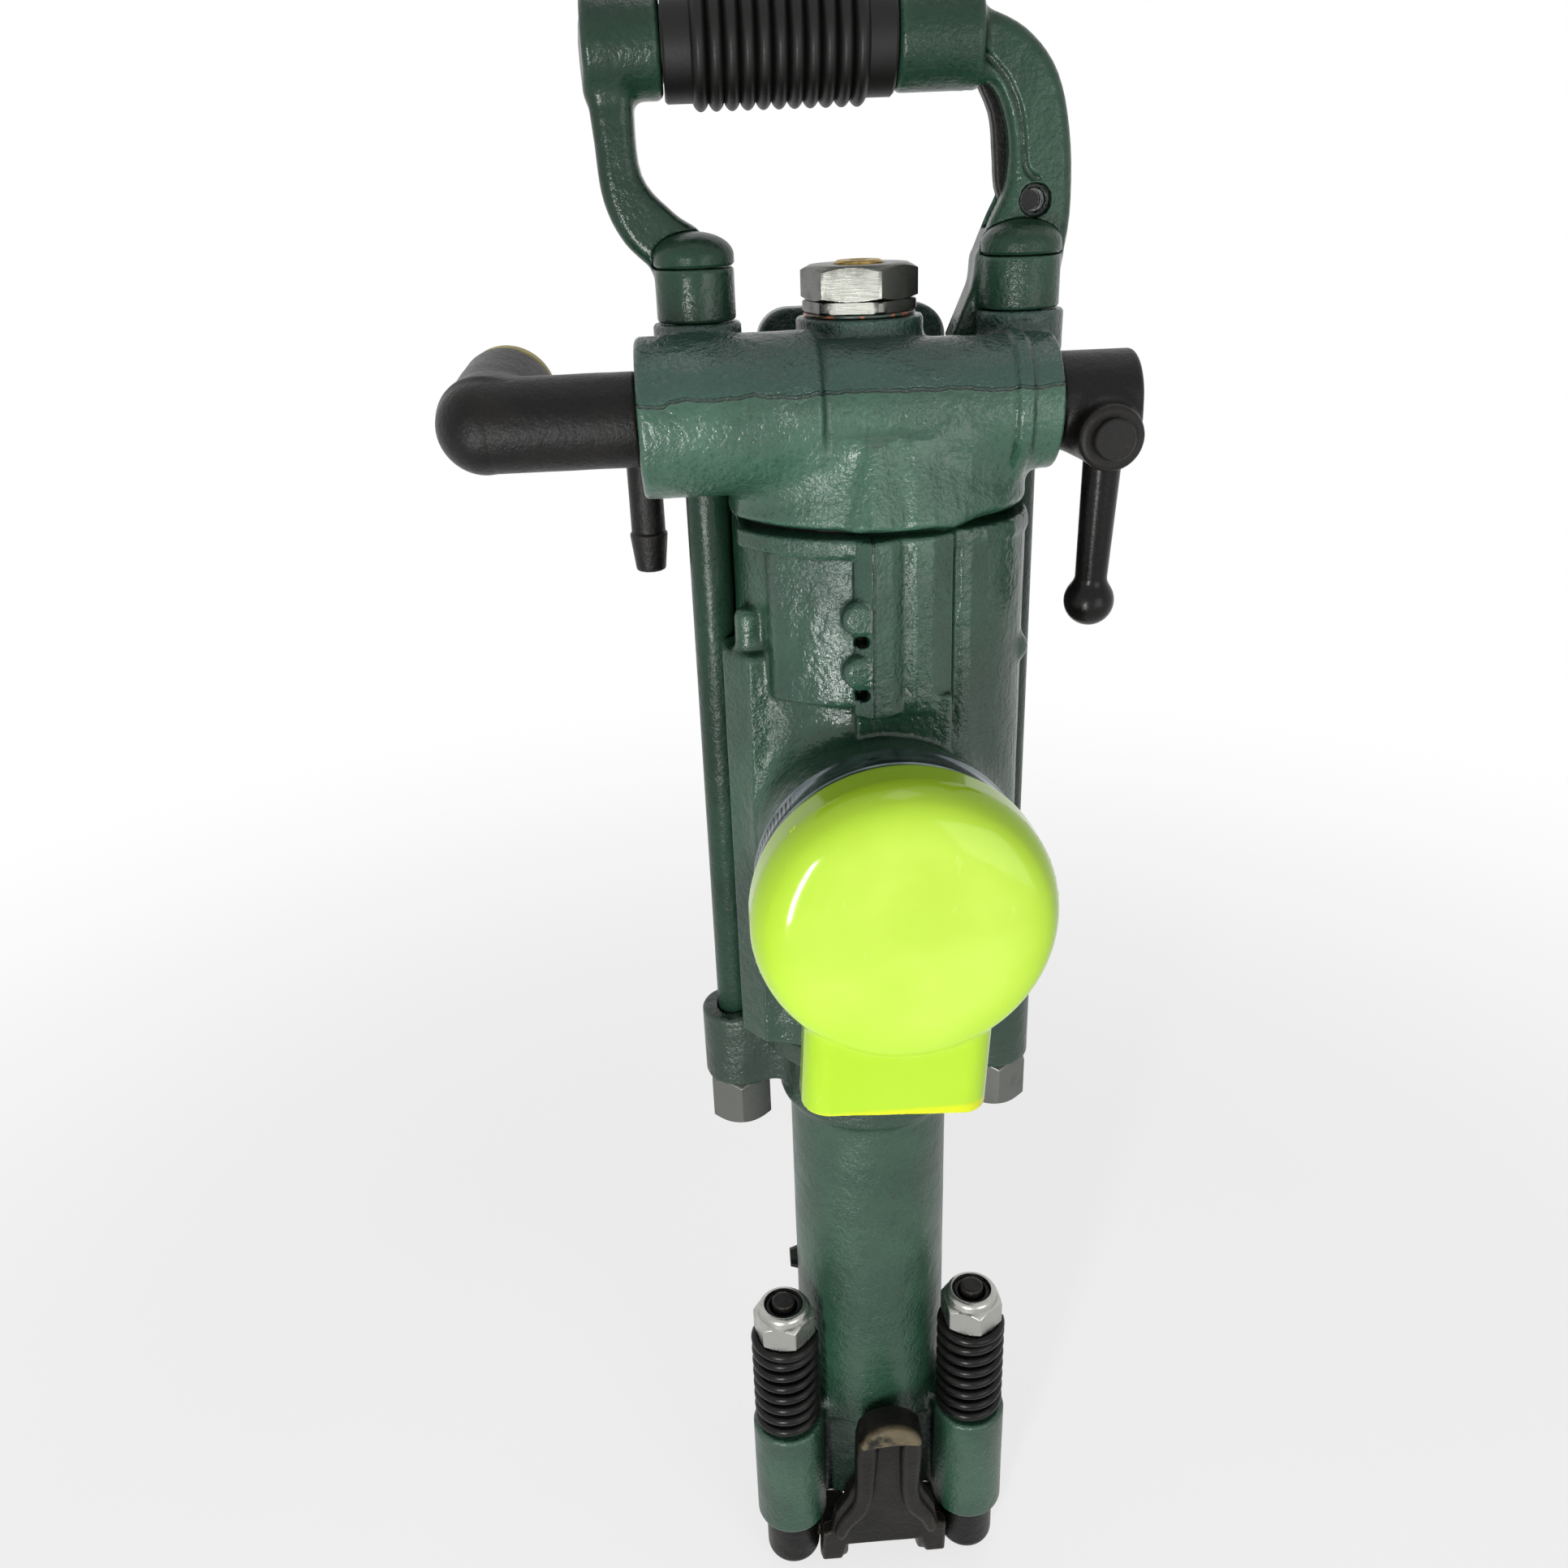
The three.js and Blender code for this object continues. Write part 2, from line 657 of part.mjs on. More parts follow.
function cylinderCasting() {
  const wrapTop = cylinderTop;
  const wrapBase = wrapTop - wrapDrop;
  const front = -wrapRadius - ridgeProud - overrun;
  const wrapBox = block(wrapLeft, wrapRight, front, -barrelRadius * wrapSideShare, wrapBase, wrapTop);
  const collarBase = cylinderTop - collarHeight;
  const collarBox = block(-barrelRadius + overrun, wrapRight, front, 0, collarBase, cylinderTop);
  const ribTop = cylinderBase + ribRise;
  const bumpBase = cylinderTop - sideBumpDrop;
  const rib = slab('z', outline([
    [0, 0], [-ribX, -boltRadius], [-ribX, -barrelRadius * ribShares[0]],
    [-barrelRadius * ribShares[1], -barrelRadius * ribShares[2]], [0, -barrelRadius * ribShares[3]],
  ]), cylinderBase, ribTop);
  const parts = [
    bar('z', barrelRadius, cylinderBase, cylinderTop, 0, 0, largeSides),
    common(bar('z', wrapRadius, wrapBase, wrapTop, 0, 0, largeSides), wrapBox),
    common(bar('z', collarRadius, collarBase, cylinderTop, 0, 0, largeSides), collarBox),
    shoulder(cylinderBase, cylinderTop),
    rib,
    block(ridgeX - ridgeHalfWidth, ridgeX + ridgeHalfWidth, -wrapRadius - ridgeProud, 0,
      wrapBase, collarBase),
    bar('y', exhaustRadius, -exhaustReach, 0, 0, exhaustZ, largeSides),
    bar('z', sideBumpRadius, bumpBase, bumpBase + sideBumpHeight, sideBumpX, sideBumpY, smallSides),
  ];
  const holes = [];
  for (const drop of bumpDrops) {
    const z = cylinderTop - drop;
    const bumpFront = -wrapRadius - ridgeProud / 2;
    const holeZ = z - bumpRadius - bumpHole;
    parts.push(bar('y', bumpRadius, bumpFront, -barrelRadius + overrun, bumpX, z, smallSides));
    holes.push(bar('y', bumpHole, -wrapRadius - overrun, -barrelRadius - seat, bumpX, holeZ, needleSides));
  }
  return cut(
    join(...parts),
    ...holes,
    bar('z', grooveRadius, wrapBase + overrun, collarBase, grooveX, -wrapRadius - grooveRadius / 2,
      smallSides),
    bar('z', cylinderBore, cylinderBase - overrun, cylinderTop + overrun, 0, 0, largeSides),
    bar('z', valveBore, cylinderTop - valveBoreDepth, cylinderTop + overrun, 0, 0, largeSides),
    bar('y', exhaustBore, -exhaustReach - overrun, 0, 0, exhaustZ, middleSides),
    ...boltGrooves(cylinderBase - overrun, cylinderTop + overrun),
  );
}

function roundedPlate(halfWidth, halfHeight, corner, x, z) {
  const shape = new THREE.Shape();
  shape.absarc(x + halfWidth - corner, z + halfHeight - corner, corner, 0, Math.PI / 2);
  shape.absarc(x - halfWidth + corner, z + halfHeight - corner, corner, Math.PI / 2, Math.PI);
  shape.absarc(x - halfWidth + corner, z - halfHeight + corner, corner, Math.PI, Math.PI * 1.5);
  shape.absarc(x + halfWidth - corner, z - halfHeight + corner, corner, Math.PI * 1.5, Math.PI * 2);
  return shape;
}

function backHead() {
  const neckTop = backBase + neckHeight;
  const coreTop = backBase + coreHeight;
  const parts = [
    bar('z', neckRadius, backBase, neckTop, 0, 0, largeSides),
    shoulder(backBase, neckTop),
    bar('z', coreRadius, neckTop - overrun, coreTop, 0, 0, largeSides),
    bar('z', plugBossRadius, coreTop - overrun, padTop),
    bar('x', sleeveRadius, sleeveLeftEnd, sleeveStepX, crossY, crossZ, largeSides),
    bar('x', crossRadius, sleeveStepX - overrun, crossRightEnd, crossY, crossZ, largeSides),
    bar('x', crossRadius + endRibProud, endRibX, endRibX + endRibWidth, crossY, crossZ, largeSides),
    bar('y', legNeckRadius, 0, legReach - overrun, legX, crossZ),
    slab('y', roundedPlate(legFlangeHalfWidth, legFlangeHalfHeight, legFlangeCorner, legX, crossZ),
      legReach - legFlangeThick, legReach),
    bar('x', nozzleBossRadius, nozzleBossX, 0, nozzleY, nozzleZ, smallSides),
  ];
  for (const side of [-1, 1]) {
    const [inner, outer] = [Math.min(0, side * boltX), Math.max(0, side * boltX)];
    parts.push(bar('z', padRadius, padTop - padThick, padTop, side * boltX, 0));
    parts.push(block(inner, outer, -padRadius * padShare, padRadius * padShare, padTop - padWeb, coreTop));
  }
  return cut(
    join(...parts),
    bar('x', throttleRadius + running, sleeveLeftEnd - overrun, crossRightEnd + overrun, crossY, crossZ),
    bar('x', elbowSpigot + running, sleeveLeftEnd - overrun, sealEnd, crossY, crossZ),
    bar('z', plugThreadRadius + seat, pocketTop - seat, padTop + overrun),
    bar('z', needleFlange + running, pocketTop - sealPocket, padTop, 0, 0, smallSides),
    bar('z', needleRadius + needleRoom, backBase - overrun, padTop, 0, 0, smallSides),
    bar('z', airPortRadius, backBase - overrun, crossZ, 0, crossY, smallSides),
    bar('y', legBore, legReach - legBoreDepth, legReach + overrun, legX, crossZ),
    bar('x', nozzleRadius + seat, nozzleBossX - overrun, nozzleSeat, nozzleY, nozzleZ, smallSides),
    ...boltGrooves(backBase - overrun, padTop + overrun),
  );
}

// Side bolt: a domed head on the handle's foot, and a shank through all three castings
function sideBolt(side) {
  const tail = earBase - seat - sideNutHeight - boltTail;
  const dome = [[0, seamZ], [domeRadius, seamZ]];
  for (let i = 0; i < domeSteps; i += 1) {
    const angle = (i / domeSteps) * Math.PI / 2;
    dome.push([domeRadius * Math.cos(angle), seamZ + domeBand + (domeHeight - domeBand) * Math.sin(angle)]);
  }
  dome.push([0, seamZ + domeHeight]);
  return join(
    turned(dome, middleSides, side * boltX),
    bar('z', boltRadius, tail, seamZ + domeBand, side * boltX, 0, smallSides),
  );
}

function sideNut(side) {
  const top = earBase - seat;
  const turn = side < 0 ? 0 : Math.PI / 6;
  return cut(
    hexBar(sideNutFlats, top - sideNutHeight, top, side * boltX, 0, turn, true, true),
    bar('z', boltHole, top - sideNutHeight - overrun, top + overrun, side * boltX, 0, smallSides),
  );
}

function headPlug() {
  const outer = -headTubeRadius - headPlugRise;
  const eased = headPlugRadius * headPlugEaseShare;
  return bar('x', headPlugRadius, outer, headPlugSeat - seat, headPlugY, headPlugZ, smallSides, eased);
}

// Guide bush: its spigot centres the front head on the cylinder and its bore guides the piston's stem
function guideBush() {
  const foot = headTop - guideSpigot;
  const top = cylinderBase + guideHeight;
  const spigot = bar('z', headBore - seat, foot, cylinderBase + overrun, 0, 0, largeSides);
  const disc = bar('z', cylinderBore - seat, cylinderBase, top, 0, 0, largeSides);
  const bore = bar('z', stemRadius + running, foot - overrun, top + overrun, 0, 0, largeSides);
  return cut(join(spigot, disc), bore);
}

function frontHeadBush() {
  return pipe('z', bushRadius, sleeveFoot + running, mouthLip + seat, bushTop, 0, 0, largeSides);
}

// Rotation sleeve: carries the spline nut above and the chuck bush below
function rotationSleeve() {
  const foot = mouthLip + seat;
  const outside = join(
    bar('z', sleeveFoot, foot, bushTop + overrun, 0, 0, largeSides),
    bar('z', sleeveOuter, bushTop + seat, sleeveTop, 0, 0, largeSides),
  );
  return cut(
    outside,
    bar('z', sleeveLipBore, foot - overrun, foot + sleeveLip + overrun),
    bar('z', chuckOuter + seat, foot + sleeveLip, chuckTop + seat),
    bar('z', stemRadius + running, chuckTop, splineBase + overrun),
    bar('z', splineNutOuter + seat, splineBase, sleeveTop + overrun),
  );
}

function chuckBush() {
  const start = mouthLip + seat + sleeveLip + seat;
  const hole = hexBar(chuckFlats, start - overrun, chuckTop + overrun, 0, 0, 0, false, false);
  return cut(bar('z', chuckOuter, start, chuckTop), hole);
}

// A round section with equal teeth, each as wide as its share of the pitch
function splined(tip, root, count, toothShare) {
  const points = [];
  const pitch = (2 * Math.PI) / count;
  const half = (pitch * toothShare) / 2;
  for (let i = 0; i < count; i += 1) {
    for (const [turn, radius] of [[-half, root], [-half, tip], [0, tip], [half, tip], [half, root]]) {
      points.push([radius * Math.cos(i * pitch + turn), radius * Math.sin(i * pitch + turn)]);
    }
  }
  return outline(points);
}

function splineNut() {
  const bore = splined(stemRadius + running, stemRoot + running, stemSplines, splineShares[1]);
  const base = splineBase + seat;
  return cut(bar('z', splineNutOuter, base, sleeveTop), slab('z', bore, base - overrun, sleeveTop + overrun));
}

function piston() {
  const stem = splined(stemRadius, stemRoot, stemSplines, splineShares[0]);
  const anvilTop = anvilBase + anvilLength;
  const outside = join(
    bar('z', pistonRadius, headBase, pistonTop, 0, 0, largeSides),
    slab('z', stem, anvilTop - overrun, headBase + overrun),
    bar('z', anvilRadius, anvilBase, anvilTop),
  );
  return cut(
    outside,
    bar('z', needleRadius + needleRoom, anvilBase - overrun, pistonTop, 0, 0, smallSides),
    bar('z', rifleTip + running, pistonTop - pistonBoreDepth, pistonTop + overrun),
    bar('z', rifleNutRadius + seat, pistonTop - rifleNutHeight - seat, pistonTop + overrun),
  );
}

function rifleNut() {
  return pipe('z', rifleNutRadius, rifleTip + running, pistonTop - rifleNutHeight, pistonTop);
}

// One pawl, with its round root in the rifle bar's head and its tongue towards the ratchet teeth
function pawlShape(i, start, end, angle, room) {
  const pivot = rifleHeadRadius * pawlPivotShare;
  const half = pawlThick / 2 + room;
  const root = bar('z', pawlPivotRadius + room, start, end, 0, 0, smallSides);
  const tongue = block(0, pawlLength + room, -half, half, start, end);
  return join(root, tongue.rotateZ(angle)).translate(pivot, 0, 0).rotateZ((i * 2 * Math.PI) / pawlCount);
}

function pawl(i) {
  return pawlShape(i, rifleHeadBase + seat, rifleHeadBase + rifleHeadHeight - seat, pawlAngle, 0);
}

// Rifle bar: helical flutes, whose lead turns it by one ratchet tooth a stroke, below the pawls' head
function rifleBar() {
  const foot = rifleHeadBase - rifleLength;
  const depth = rifleLength + overrun;
  const shape = splined(rifleTip, rifleRoot, rifleFlutes, rifleToothShare);
  const flutes = new THREE.ExtrudeGeometry(shape, { depth, steps: rifleSteps, bevelEnabled: false });
  const place = flutes.attributes.position;
  const lead = (2 * Math.PI) / ratchetTeeth / pistonStroke;
  for (let i = 0; i < place.count; i += 1) {
    const [x, y, turn] = [place.getX(i), place.getY(i), place.getZ(i) * lead];
    place.setXY(i, x * Math.cos(turn) - y * Math.sin(turn), x * Math.sin(turn) + y * Math.cos(turn));
  }
  const top = rifleHeadBase + rifleHeadHeight;
  const holes = [bar('z', needleRadius + needleRoom, foot - overrun, top + overrun, 0, 0, smallSides)];
  for (let i = 0; i < pawlCount; i += 1) {
    for (const angle of [pawlAngle, pawlAngle + pawlSwing]) {
      holes.push(pawlShape(i, rifleHeadBase - overrun, top + overrun, angle, running));
    }
  }
  return cut(join(flutes.translate(0, 0, foot), bar('z', rifleHeadRadius, rifleHeadBase, top)), ...holes);
}

// Ratchet ring: its flange shows as the dark line between the cylinder and the back head
function ratchetRing() {
  const outside = join(
    bar('z', valveOuter, ratchetBase, cylinderTop + 2 * seat, 0, 0, largeSides),
    bar('z', ratchetFlangeRadius, cylinderTop + seat, backBase - seat, 0, 0, largeSides),
  );
  const teeth = splined(ratchetRoot, ratchetTip, ratchetTeeth, ratchetToothShare);
  const phase = (2 * Math.PI) / ratchetTeeth * ratchetPhaseShare;
  return cut(
    outside,
    slab('z', teeth, ratchetBase + ratchetFloor, backBase + overrun).rotateZ(phase),
    bar('z', rifleTip + running, ratchetBase - overrun, backBase),
  );
}

function valveCover() {
  return pipe('z', valveOuter, rifleTip + running, coverBase, coverBase + coverThick, 0, 0, largeSides);
}

function valveChest() {
  const chestTop = chestBase + chestHeight;
  const body = pipe('z', valveOuter, rifleTip + running, chestBase, chestTop, 0, 0, largeSides);
  const chamberTop = chestBase + chamberDepth;
  return cut(body, pipe('z', chamberOuter, chamberInner, chestBase - overrun, chamberTop, 0, 0, largeSides));
}

function distributionValve() {
  const base = chestBase + seat;
  return pipe('z', chamberOuter - running, chamberInner + running, base, base + valveThick, 0, 0, largeSides);
}

// Needle plug: a thread in the back head, a flange on the copper washer and a hexagon
function needlePlug() {
  const top = hexBase + plugHexHeight;
  const body = join(
    bar('z', plugThreadRadius, pocketTop, plugBase + seat),
    bar('z', plugFlangeRadius, plugBase, hexBase),
    hexBar(plugFlats, hexBase - seat, top, 0, 0, plugTurn, true, false),
  );
  return cut(body, bar('z', capsuleRadius + seat, hexBase, top + overrun, 0, 0, smallSides));
}

function plugWasher() {
  return pipe('z', washerRadius, plugThreadRadius + seat, padTop + seat, padTop + seat + washerThick);
}

function plugCore() {
  return bar('z', capsuleRadius, hexBase + seat, hexBase + plugHexHeight + capsuleRise, 0, 0, smallSides);
}

function waterNeedle() {
  const flange = pocketTop - seat - needleFlangeHeight;
  const outside = join(
    bar('z', needleRadius, needleEnd, flange + overrun, 0, 0, needleSides),
    bar('z', needleFlange, flange, pocketTop - seat, 0, 0, smallSides),
  );
  const bore = bar('z', needleRadius / 2, needleEnd - overrun, pocketTop + overrun, 0, 0, needleSides);
  return cut(outside, bore);
}

function needleSeal() {
  const base = pocketTop - sealPocket + seat;
  return pipe('z', needleFlange, needleRadius + seat, base, base + sealSection, 0, 0, smallSides);
}

// An outline in shares of a width and a height, from a corner at x and z
function sharedOutline(shares, width, height, x, z) {
  return outline(shares.map(([across, up]) => [x + across * width, z + up * height]));
}

// One foot of the handle on its pad, with the arm that starts from it, before the bolt's room is cut out
function handleArm(side, shares, reach, socketStart, socketEnd) {
  const arm = sharedOutline(shares, side * reach, handleRise, side * boltX, footBase);
  return join(
    slab('y', arm, handleY - armDepth / 2, handleY + armDepth / 2, armBevel),
    bar('z', footRadius, footBase, footBase + footHeight, side * boltX),
    bar('x', socketRadius, socketStart, socketEnd, handleY, handleZ),
  );
}

function boltRoom(side) {
  const dome = seamZ - seat;
  return [
    bar('z', boltHole, footBase - overrun, dome + overrun, side * boltX, 0, smallSides),
    bar('z', domeRadius + slip, dome, seamZ + domeHeight + slip, side * boltX),
  ];
}

function leftArm() {
  const arm = handleArm(-1, leftArmShares, -leftSocketEnd - boltX, leftSocketEnd, gripLeft - seat);
  const barHole = bar('x', barRadius + seat, barLeft - seat, gripLeft + overrun, handleY, handleZ);
  return cut(arm, barHole, ...boltRoom(-1));
}

function rightArm() {
  const arm = handleArm(1, rightArmShares, rightArmReach, gripRight + seat, rightSocketEnd);
  const slot = sharedOutline(slotShares, triggerHeight, triggerHeight, pivotX, pivotZ);
  const slotHalf = triggerThick / 2 + slip;
  return cut(
    arm,
    bar('x', barRadius + seat, gripRight - overrun, barRight + seat, handleY, handleZ),
    slab('y', slot, triggerY - slotHalf, triggerY + slotHalf),
    bar('y', pivotRadius + seat, handleY - armDepth, handleY + armDepth, pivotX, pivotZ, smallSides),
    bar('x', plungerRadius + slip, plungerX, plungerEnd + plungerRoom, triggerY, plungerZ, smallSides),
    ...boltRoom(1),
  );
}

function trigger() {
  const shape = sharedOutline(triggerShares, triggerHeight, triggerHeight, pivotX, pivotZ);
  return cut(
    slab('y', shape, triggerY - triggerThick / 2, triggerY + triggerThick / 2),
    bar('y', pivotRadius + seat, handleY - armDepth, handleY + armDepth, pivotX, pivotZ, smallSides),
  );
}

function triggerPin() {
  const [front, back] = [handleY - armDepth / 2, handleY + armDepth / 2];
  return bar('y', pivotRadius, front + pinInset, back - pinInset, pivotX, pivotZ, smallSides);
}

function retractPlunger() {
  return bar('x', plungerRadius, plungerX, plungerEnd, triggerY, plungerZ, smallSides);
}

// Grip sleeve: smooth at both ends, ribbed between them
function gripSleeve() {
  const length = gripRight - gripLeft;
  const [first, last] = gripSmoothShares.map((share) => gripLeft + length * share);
  const pitch = (last - first) / gripRibs;
  const profile = [[barRadius + seat, gripLeft], [gripRadius, gripLeft]];
  for (let i = 0; i < gripRibs; i += 1) {
    profile.push([gripRadius, first + i * pitch], [ribRadius, first + (i + 1 / 2) * pitch]);
  }
  profile.push([gripRadius, last], [gripRadius, gripRight]);
  profile.push([barRadius + seat, gripRight], [barRadius + seat, gripLeft]);
  return turned(profile, gripSides).rotateY(Math.PI / 2).translate(0, handleY, handleZ);
}

function handleBar() {
  return bar('x', barRadius, barLeft, barRight, handleY, handleZ, gripSides);
}

// Throttle: a hollow plug in the cross bore, turned by the lever outside
function throttleValve() {
  const end = crossRightEnd - seat;
  return cut(
    join(
      bar('x', throttleRadius, throttleLeft, end, crossY, crossZ),
      bar('x', throttleInner, end - overrun, hubLeft + throttleStub, crossY, crossZ, smallSides),
    ),
    bar('x', throttleInner, throttleLeft - overrun, throttleLeft + throttleHollow, crossY, crossZ,
      smallSides),
    bar('z', airPortRadius, crossZ - throttleRadius - overrun, crossZ, 0, crossY, smallSides),
  );
}

// The lever's rod and its hole share one place: it leans from the lobe down to its ball
function placeRod(geometry) {
  return geometry.rotateX(rodLean).translate(lobeX, crossY - rodForward, crossZ - lobeDrop - rodInset);
}

function leverHub() {
  const stub = hubLeft + throttleStub + seat;
  const rodHole = bar('z', rodTopRadius + seat, -rodLength, seat, 0, 0, smallSides);
  return cut(
    join(
      bar('x', hubRadius, hubLeft, hubLeft + hubLength, crossY, crossZ),
      bar('y', lobeRadius, crossY - lobeReach, crossY, lobeX, crossZ - lobeDrop),
    ),
    bar('x', throttleInner + seat, hubLeft - overrun, stub, crossY, crossZ, smallSides),
    bar('y', leverPinShank + seat, crossY - lobeReach - overrun, crossY - lobeReach + leverPinLength + seat, lobeX,
      crossZ - lobeDrop, smallSides),
    placeRod(rodHole),
  );
}

function leverPin() {
  const face = crossY - lobeReach - seat;
  return join(
    bar('y', leverPinRadius, face - leverPinHead, face, lobeX, crossZ - lobeDrop, smallSides),
    bar('y', leverPinShank, face - seat, face + leverPinLength, lobeX, crossZ - lobeDrop, smallSides),
  );
}

function leverRod() {
  const rod = bar('z', rodTopRadius, -rodLength, 0, 0, 0, smallSides, rodEndRadius);
  return placeRod(join(rod, ball(ballRadius, 0, 0, -rodLength)));
}

// The outlet is built along z from the bend, then tilted back and up
function placeOutlet(geometry) {
  return geometry.rotateX(elbowTilt - Math.PI / 2).translate(elbowBendX, crossY, crossZ);
}

function airElbow() {
  const spigotTip = spigotEnd - seat;
  const outlet = join(
    bar('z', elbowRadius, 0, elbowReach),
    bar('z', elbowCollar, elbowReach - elbowCollarLength, elbowReach),
    ball(elbowRadius, 0, 0, 0, middleSides),
  );
  return cut(
    join(
      placeOutlet(outlet),
      bar('x', elbowRadius, elbowBendX, sleeveLeftEnd - seat, crossY, crossZ),
      bar('x', elbowSpigot, sleeveLeftEnd - overrun, spigotTip, crossY, crossZ),
    ),
    bar('x', elbowBore, elbowBendX, spigotTip + overrun, crossY, crossZ, smallSides),
    placeOutlet(join(
      bar('z', elbowBore, 0, elbowReach + overrun, 0, 0, smallSides),
      ball(elbowBore, 0, 0, 0),
    )),
  );
}

function elbowSeal() {
  return pipe('x', elbowSpigot, elbowBore, spigotEnd, spigotEnd + sealSection, crossY, crossZ);
}

function elbowCap() {
  const [base, plug] = [elbowReach + seat, elbowBore - slip];
  return placeOutlet(turned([
    [0, elbowReach - capPlug], [plug, elbowReach - capPlug], [plug, base], [capRadius, base],
    [capRadius, base + capHead / 2], [capRadius * capEaseShare, base + capHead], [0, base + capHead],
  ], middleSides));
}

// Water nozzle: in from the side of the back head, then down to a tapered ferrule
function waterNozzle() {
  const tail = nozzleBossX + nozzleDepth;
  return cut(
    join(
      bar('x', nozzleRadius, nozzleX, tail, nozzleY, nozzleZ, smallSides),
      ball(nozzleRadius, nozzleX, nozzleY, nozzleZ),
      bar('z', nozzleRadius, ferruleTop - overrun, nozzleZ, nozzleX, nozzleY, smallSides),
      bar('z', ferruleRadius, ferruleBottom, ferruleTop, nozzleX, nozzleY, smallSides, ferruleEndRadius),
    ),
    bar('x', nozzleBore, nozzleX, tail + overrun, nozzleY, nozzleZ, needleSides),
    bar('z', nozzleBore, ferruleBottom - overrun, nozzleZ, nozzleX, nozzleY, needleSides),
  );
}

// Muffler: a round pot round the exhaust's axis, with a spout down and a neck on the exhaust boss
function mufflerPot(wall) {
  const [radius, depth] = [mufflerRadius - wall, mufflerDepth - 2 * wall];
  const profile = mufflerShares.map(([out, along]) => [out * radius, wall + along * depth]);
  const pot = turned(profile, largeSides).rotateX(Math.PI / 2).translate(0, mufflerBack, exhaustZ);
  const spout = roundedPlate(spoutHalfWidth - wall, spoutHalfDepth - wall, spoutCorner - wall, 0, spoutY);
  const bottom = wall > 0 ? spoutBottom - overrun : spoutBottom;
  return join(pot, slab('z', spout, bottom, exhaustZ));
}

function muffler() {
  const inside = mufflerBack - mufflerWall - overrun;
  return cut(
    join(mufflerPot(0), bar('y', neckOuter, mufflerBack - mufflerWall, neckBack, 0, exhaustZ, largeSides)),
    mufflerPot(mufflerWall),
    bar('y', neckInner, inside, neckBack + overrun, 0, exhaustZ, largeSides),
  );
}

// The clamp's screw housing and its screw are built at the top of the band, then turned round it
function placeScrew(geometry) {
  return geometry.rotateY(screwAngle).translate(0, neckBack - bandInset - bandWidth / 2, exhaustZ);
}

function mufflerClamp() {
  const front = neckBack - bandInset - bandWidth;
  const outer = bandInner + bandThick;
  const base = outer - housingSink;
  const top = base + housingHeight;
  const housing = block(-housingHalfWidth, housingHalfWidth, -bandWidth / 2, bandWidth / 2, base, top);
  const screwZ = base + housingHeight / 2;
  const screwHole = bar('x', screwRadius + seat, -screwHalfLength, screwHalfLength, 0, screwZ, needleSides);
  return join(
    pipe('y', outer, bandInner, front, neckBack - bandInset, 0, exhaustZ, largeSides),
    placeScrew(cut(housing, screwHole)),
  );
}

function clampScrew() {
  const z = bandInner + bandThick - housingSink + housingHeight / 2;
  return placeScrew(bar('x', screwRadius, -screwHalfLength, screwHalfLength, 0, z, needleSides));
}

// Retainer bolt: a round-bottomed eye under the lug and a shank up through the spring and the nut
function retainerBolt(side) {
  const top = lockNutBase + lockNutHeight;
  const corner = eyeRadius * eyeCornerShare;
  const eye = turned([
    [0, -eyeDepth], [eyeRadius - corner, -eyeDepth], [eyeRadius, -eyeDepth + corner],
    [eyeRadius, -seat], [0, -seat],
  ], middleSides, side * lugX, lugY);
  const reach = footOuter + trunnionReach + running;
  const [near, far] = side < 0 ? [-reach, 0] : [0, reach];
  return cut(
    join(
      eye,
      bar('z', boltRadius, -overrun, top, side * lugX, lugY, smallSides),
      bar('z', retainerTipRadius, top - overrun, top + retainerBoltRise, side * lugX, lugY, smallSides),
    ),
    bar('x', trunnionRadius + running, near, far, lugY, -eyeDrop, smallSides),
  );
}

function lockNut(side) {
  const top = lockNutBase + lockNutHeight;
  const hexTop = lockNutBase + lockNutHeight * lockHexShare;
  const [x, turn] = [side * lugX, side < 0 ? lockTurns[0] : lockTurns[1]];
  return cut(
    join(
      hexBar(lockNutFlats, lockNutBase, hexTop, x, lugY, turn, true, true),
      bar('z', lockCollarRadius, hexTop - overrun, top, x, lugY),
    ),
    bar('z', boltHole, lockNutBase - overrun, top + overrun, x, lugY, smallSides),
  );
}

// The spring's centre line: straight up off the lug, round the bolt, then straight up to the nut
function springPath() {
  const radius = springRadius - springWire / 2;
  const rise = springLength - 2 * springWire;
  const count = springTurns * springSteps;
  const points = [new THREE.Vector3(radius, 0, 0)];
  for (let i = 0; i <= count; i += 1) {
    const angle = (i / springSteps) * 2 * Math.PI;
    const z = springWire + (i / count) * rise;
    points.push(new THREE.Vector3(radius * Math.cos(angle), radius * Math.sin(angle), z));
  }
  return points.concat(new THREE.Vector3(radius, 0, springLength));
}

// The least distance between points more than half a turn apart on the wire, less the wire itself
function springGap(path) {
  const dense = [];
  for (let i = 1; i < path.length; i += 1) {
    for (let j = 0; j < springSteps; j += 1) dense.push(path[i - 1].clone().lerp(path[i], j / springSteps));
  }
  const apart = (springSteps * springSteps) / 2;
  let least = Infinity;
  for (let i = 0; i < dense.length; i += 1) {
    for (let j = i + apart; j < dense.length; j += 1) least = Math.min(least, dense[i].distanceTo(dense[j]));
  }
  return least - springWire;
}

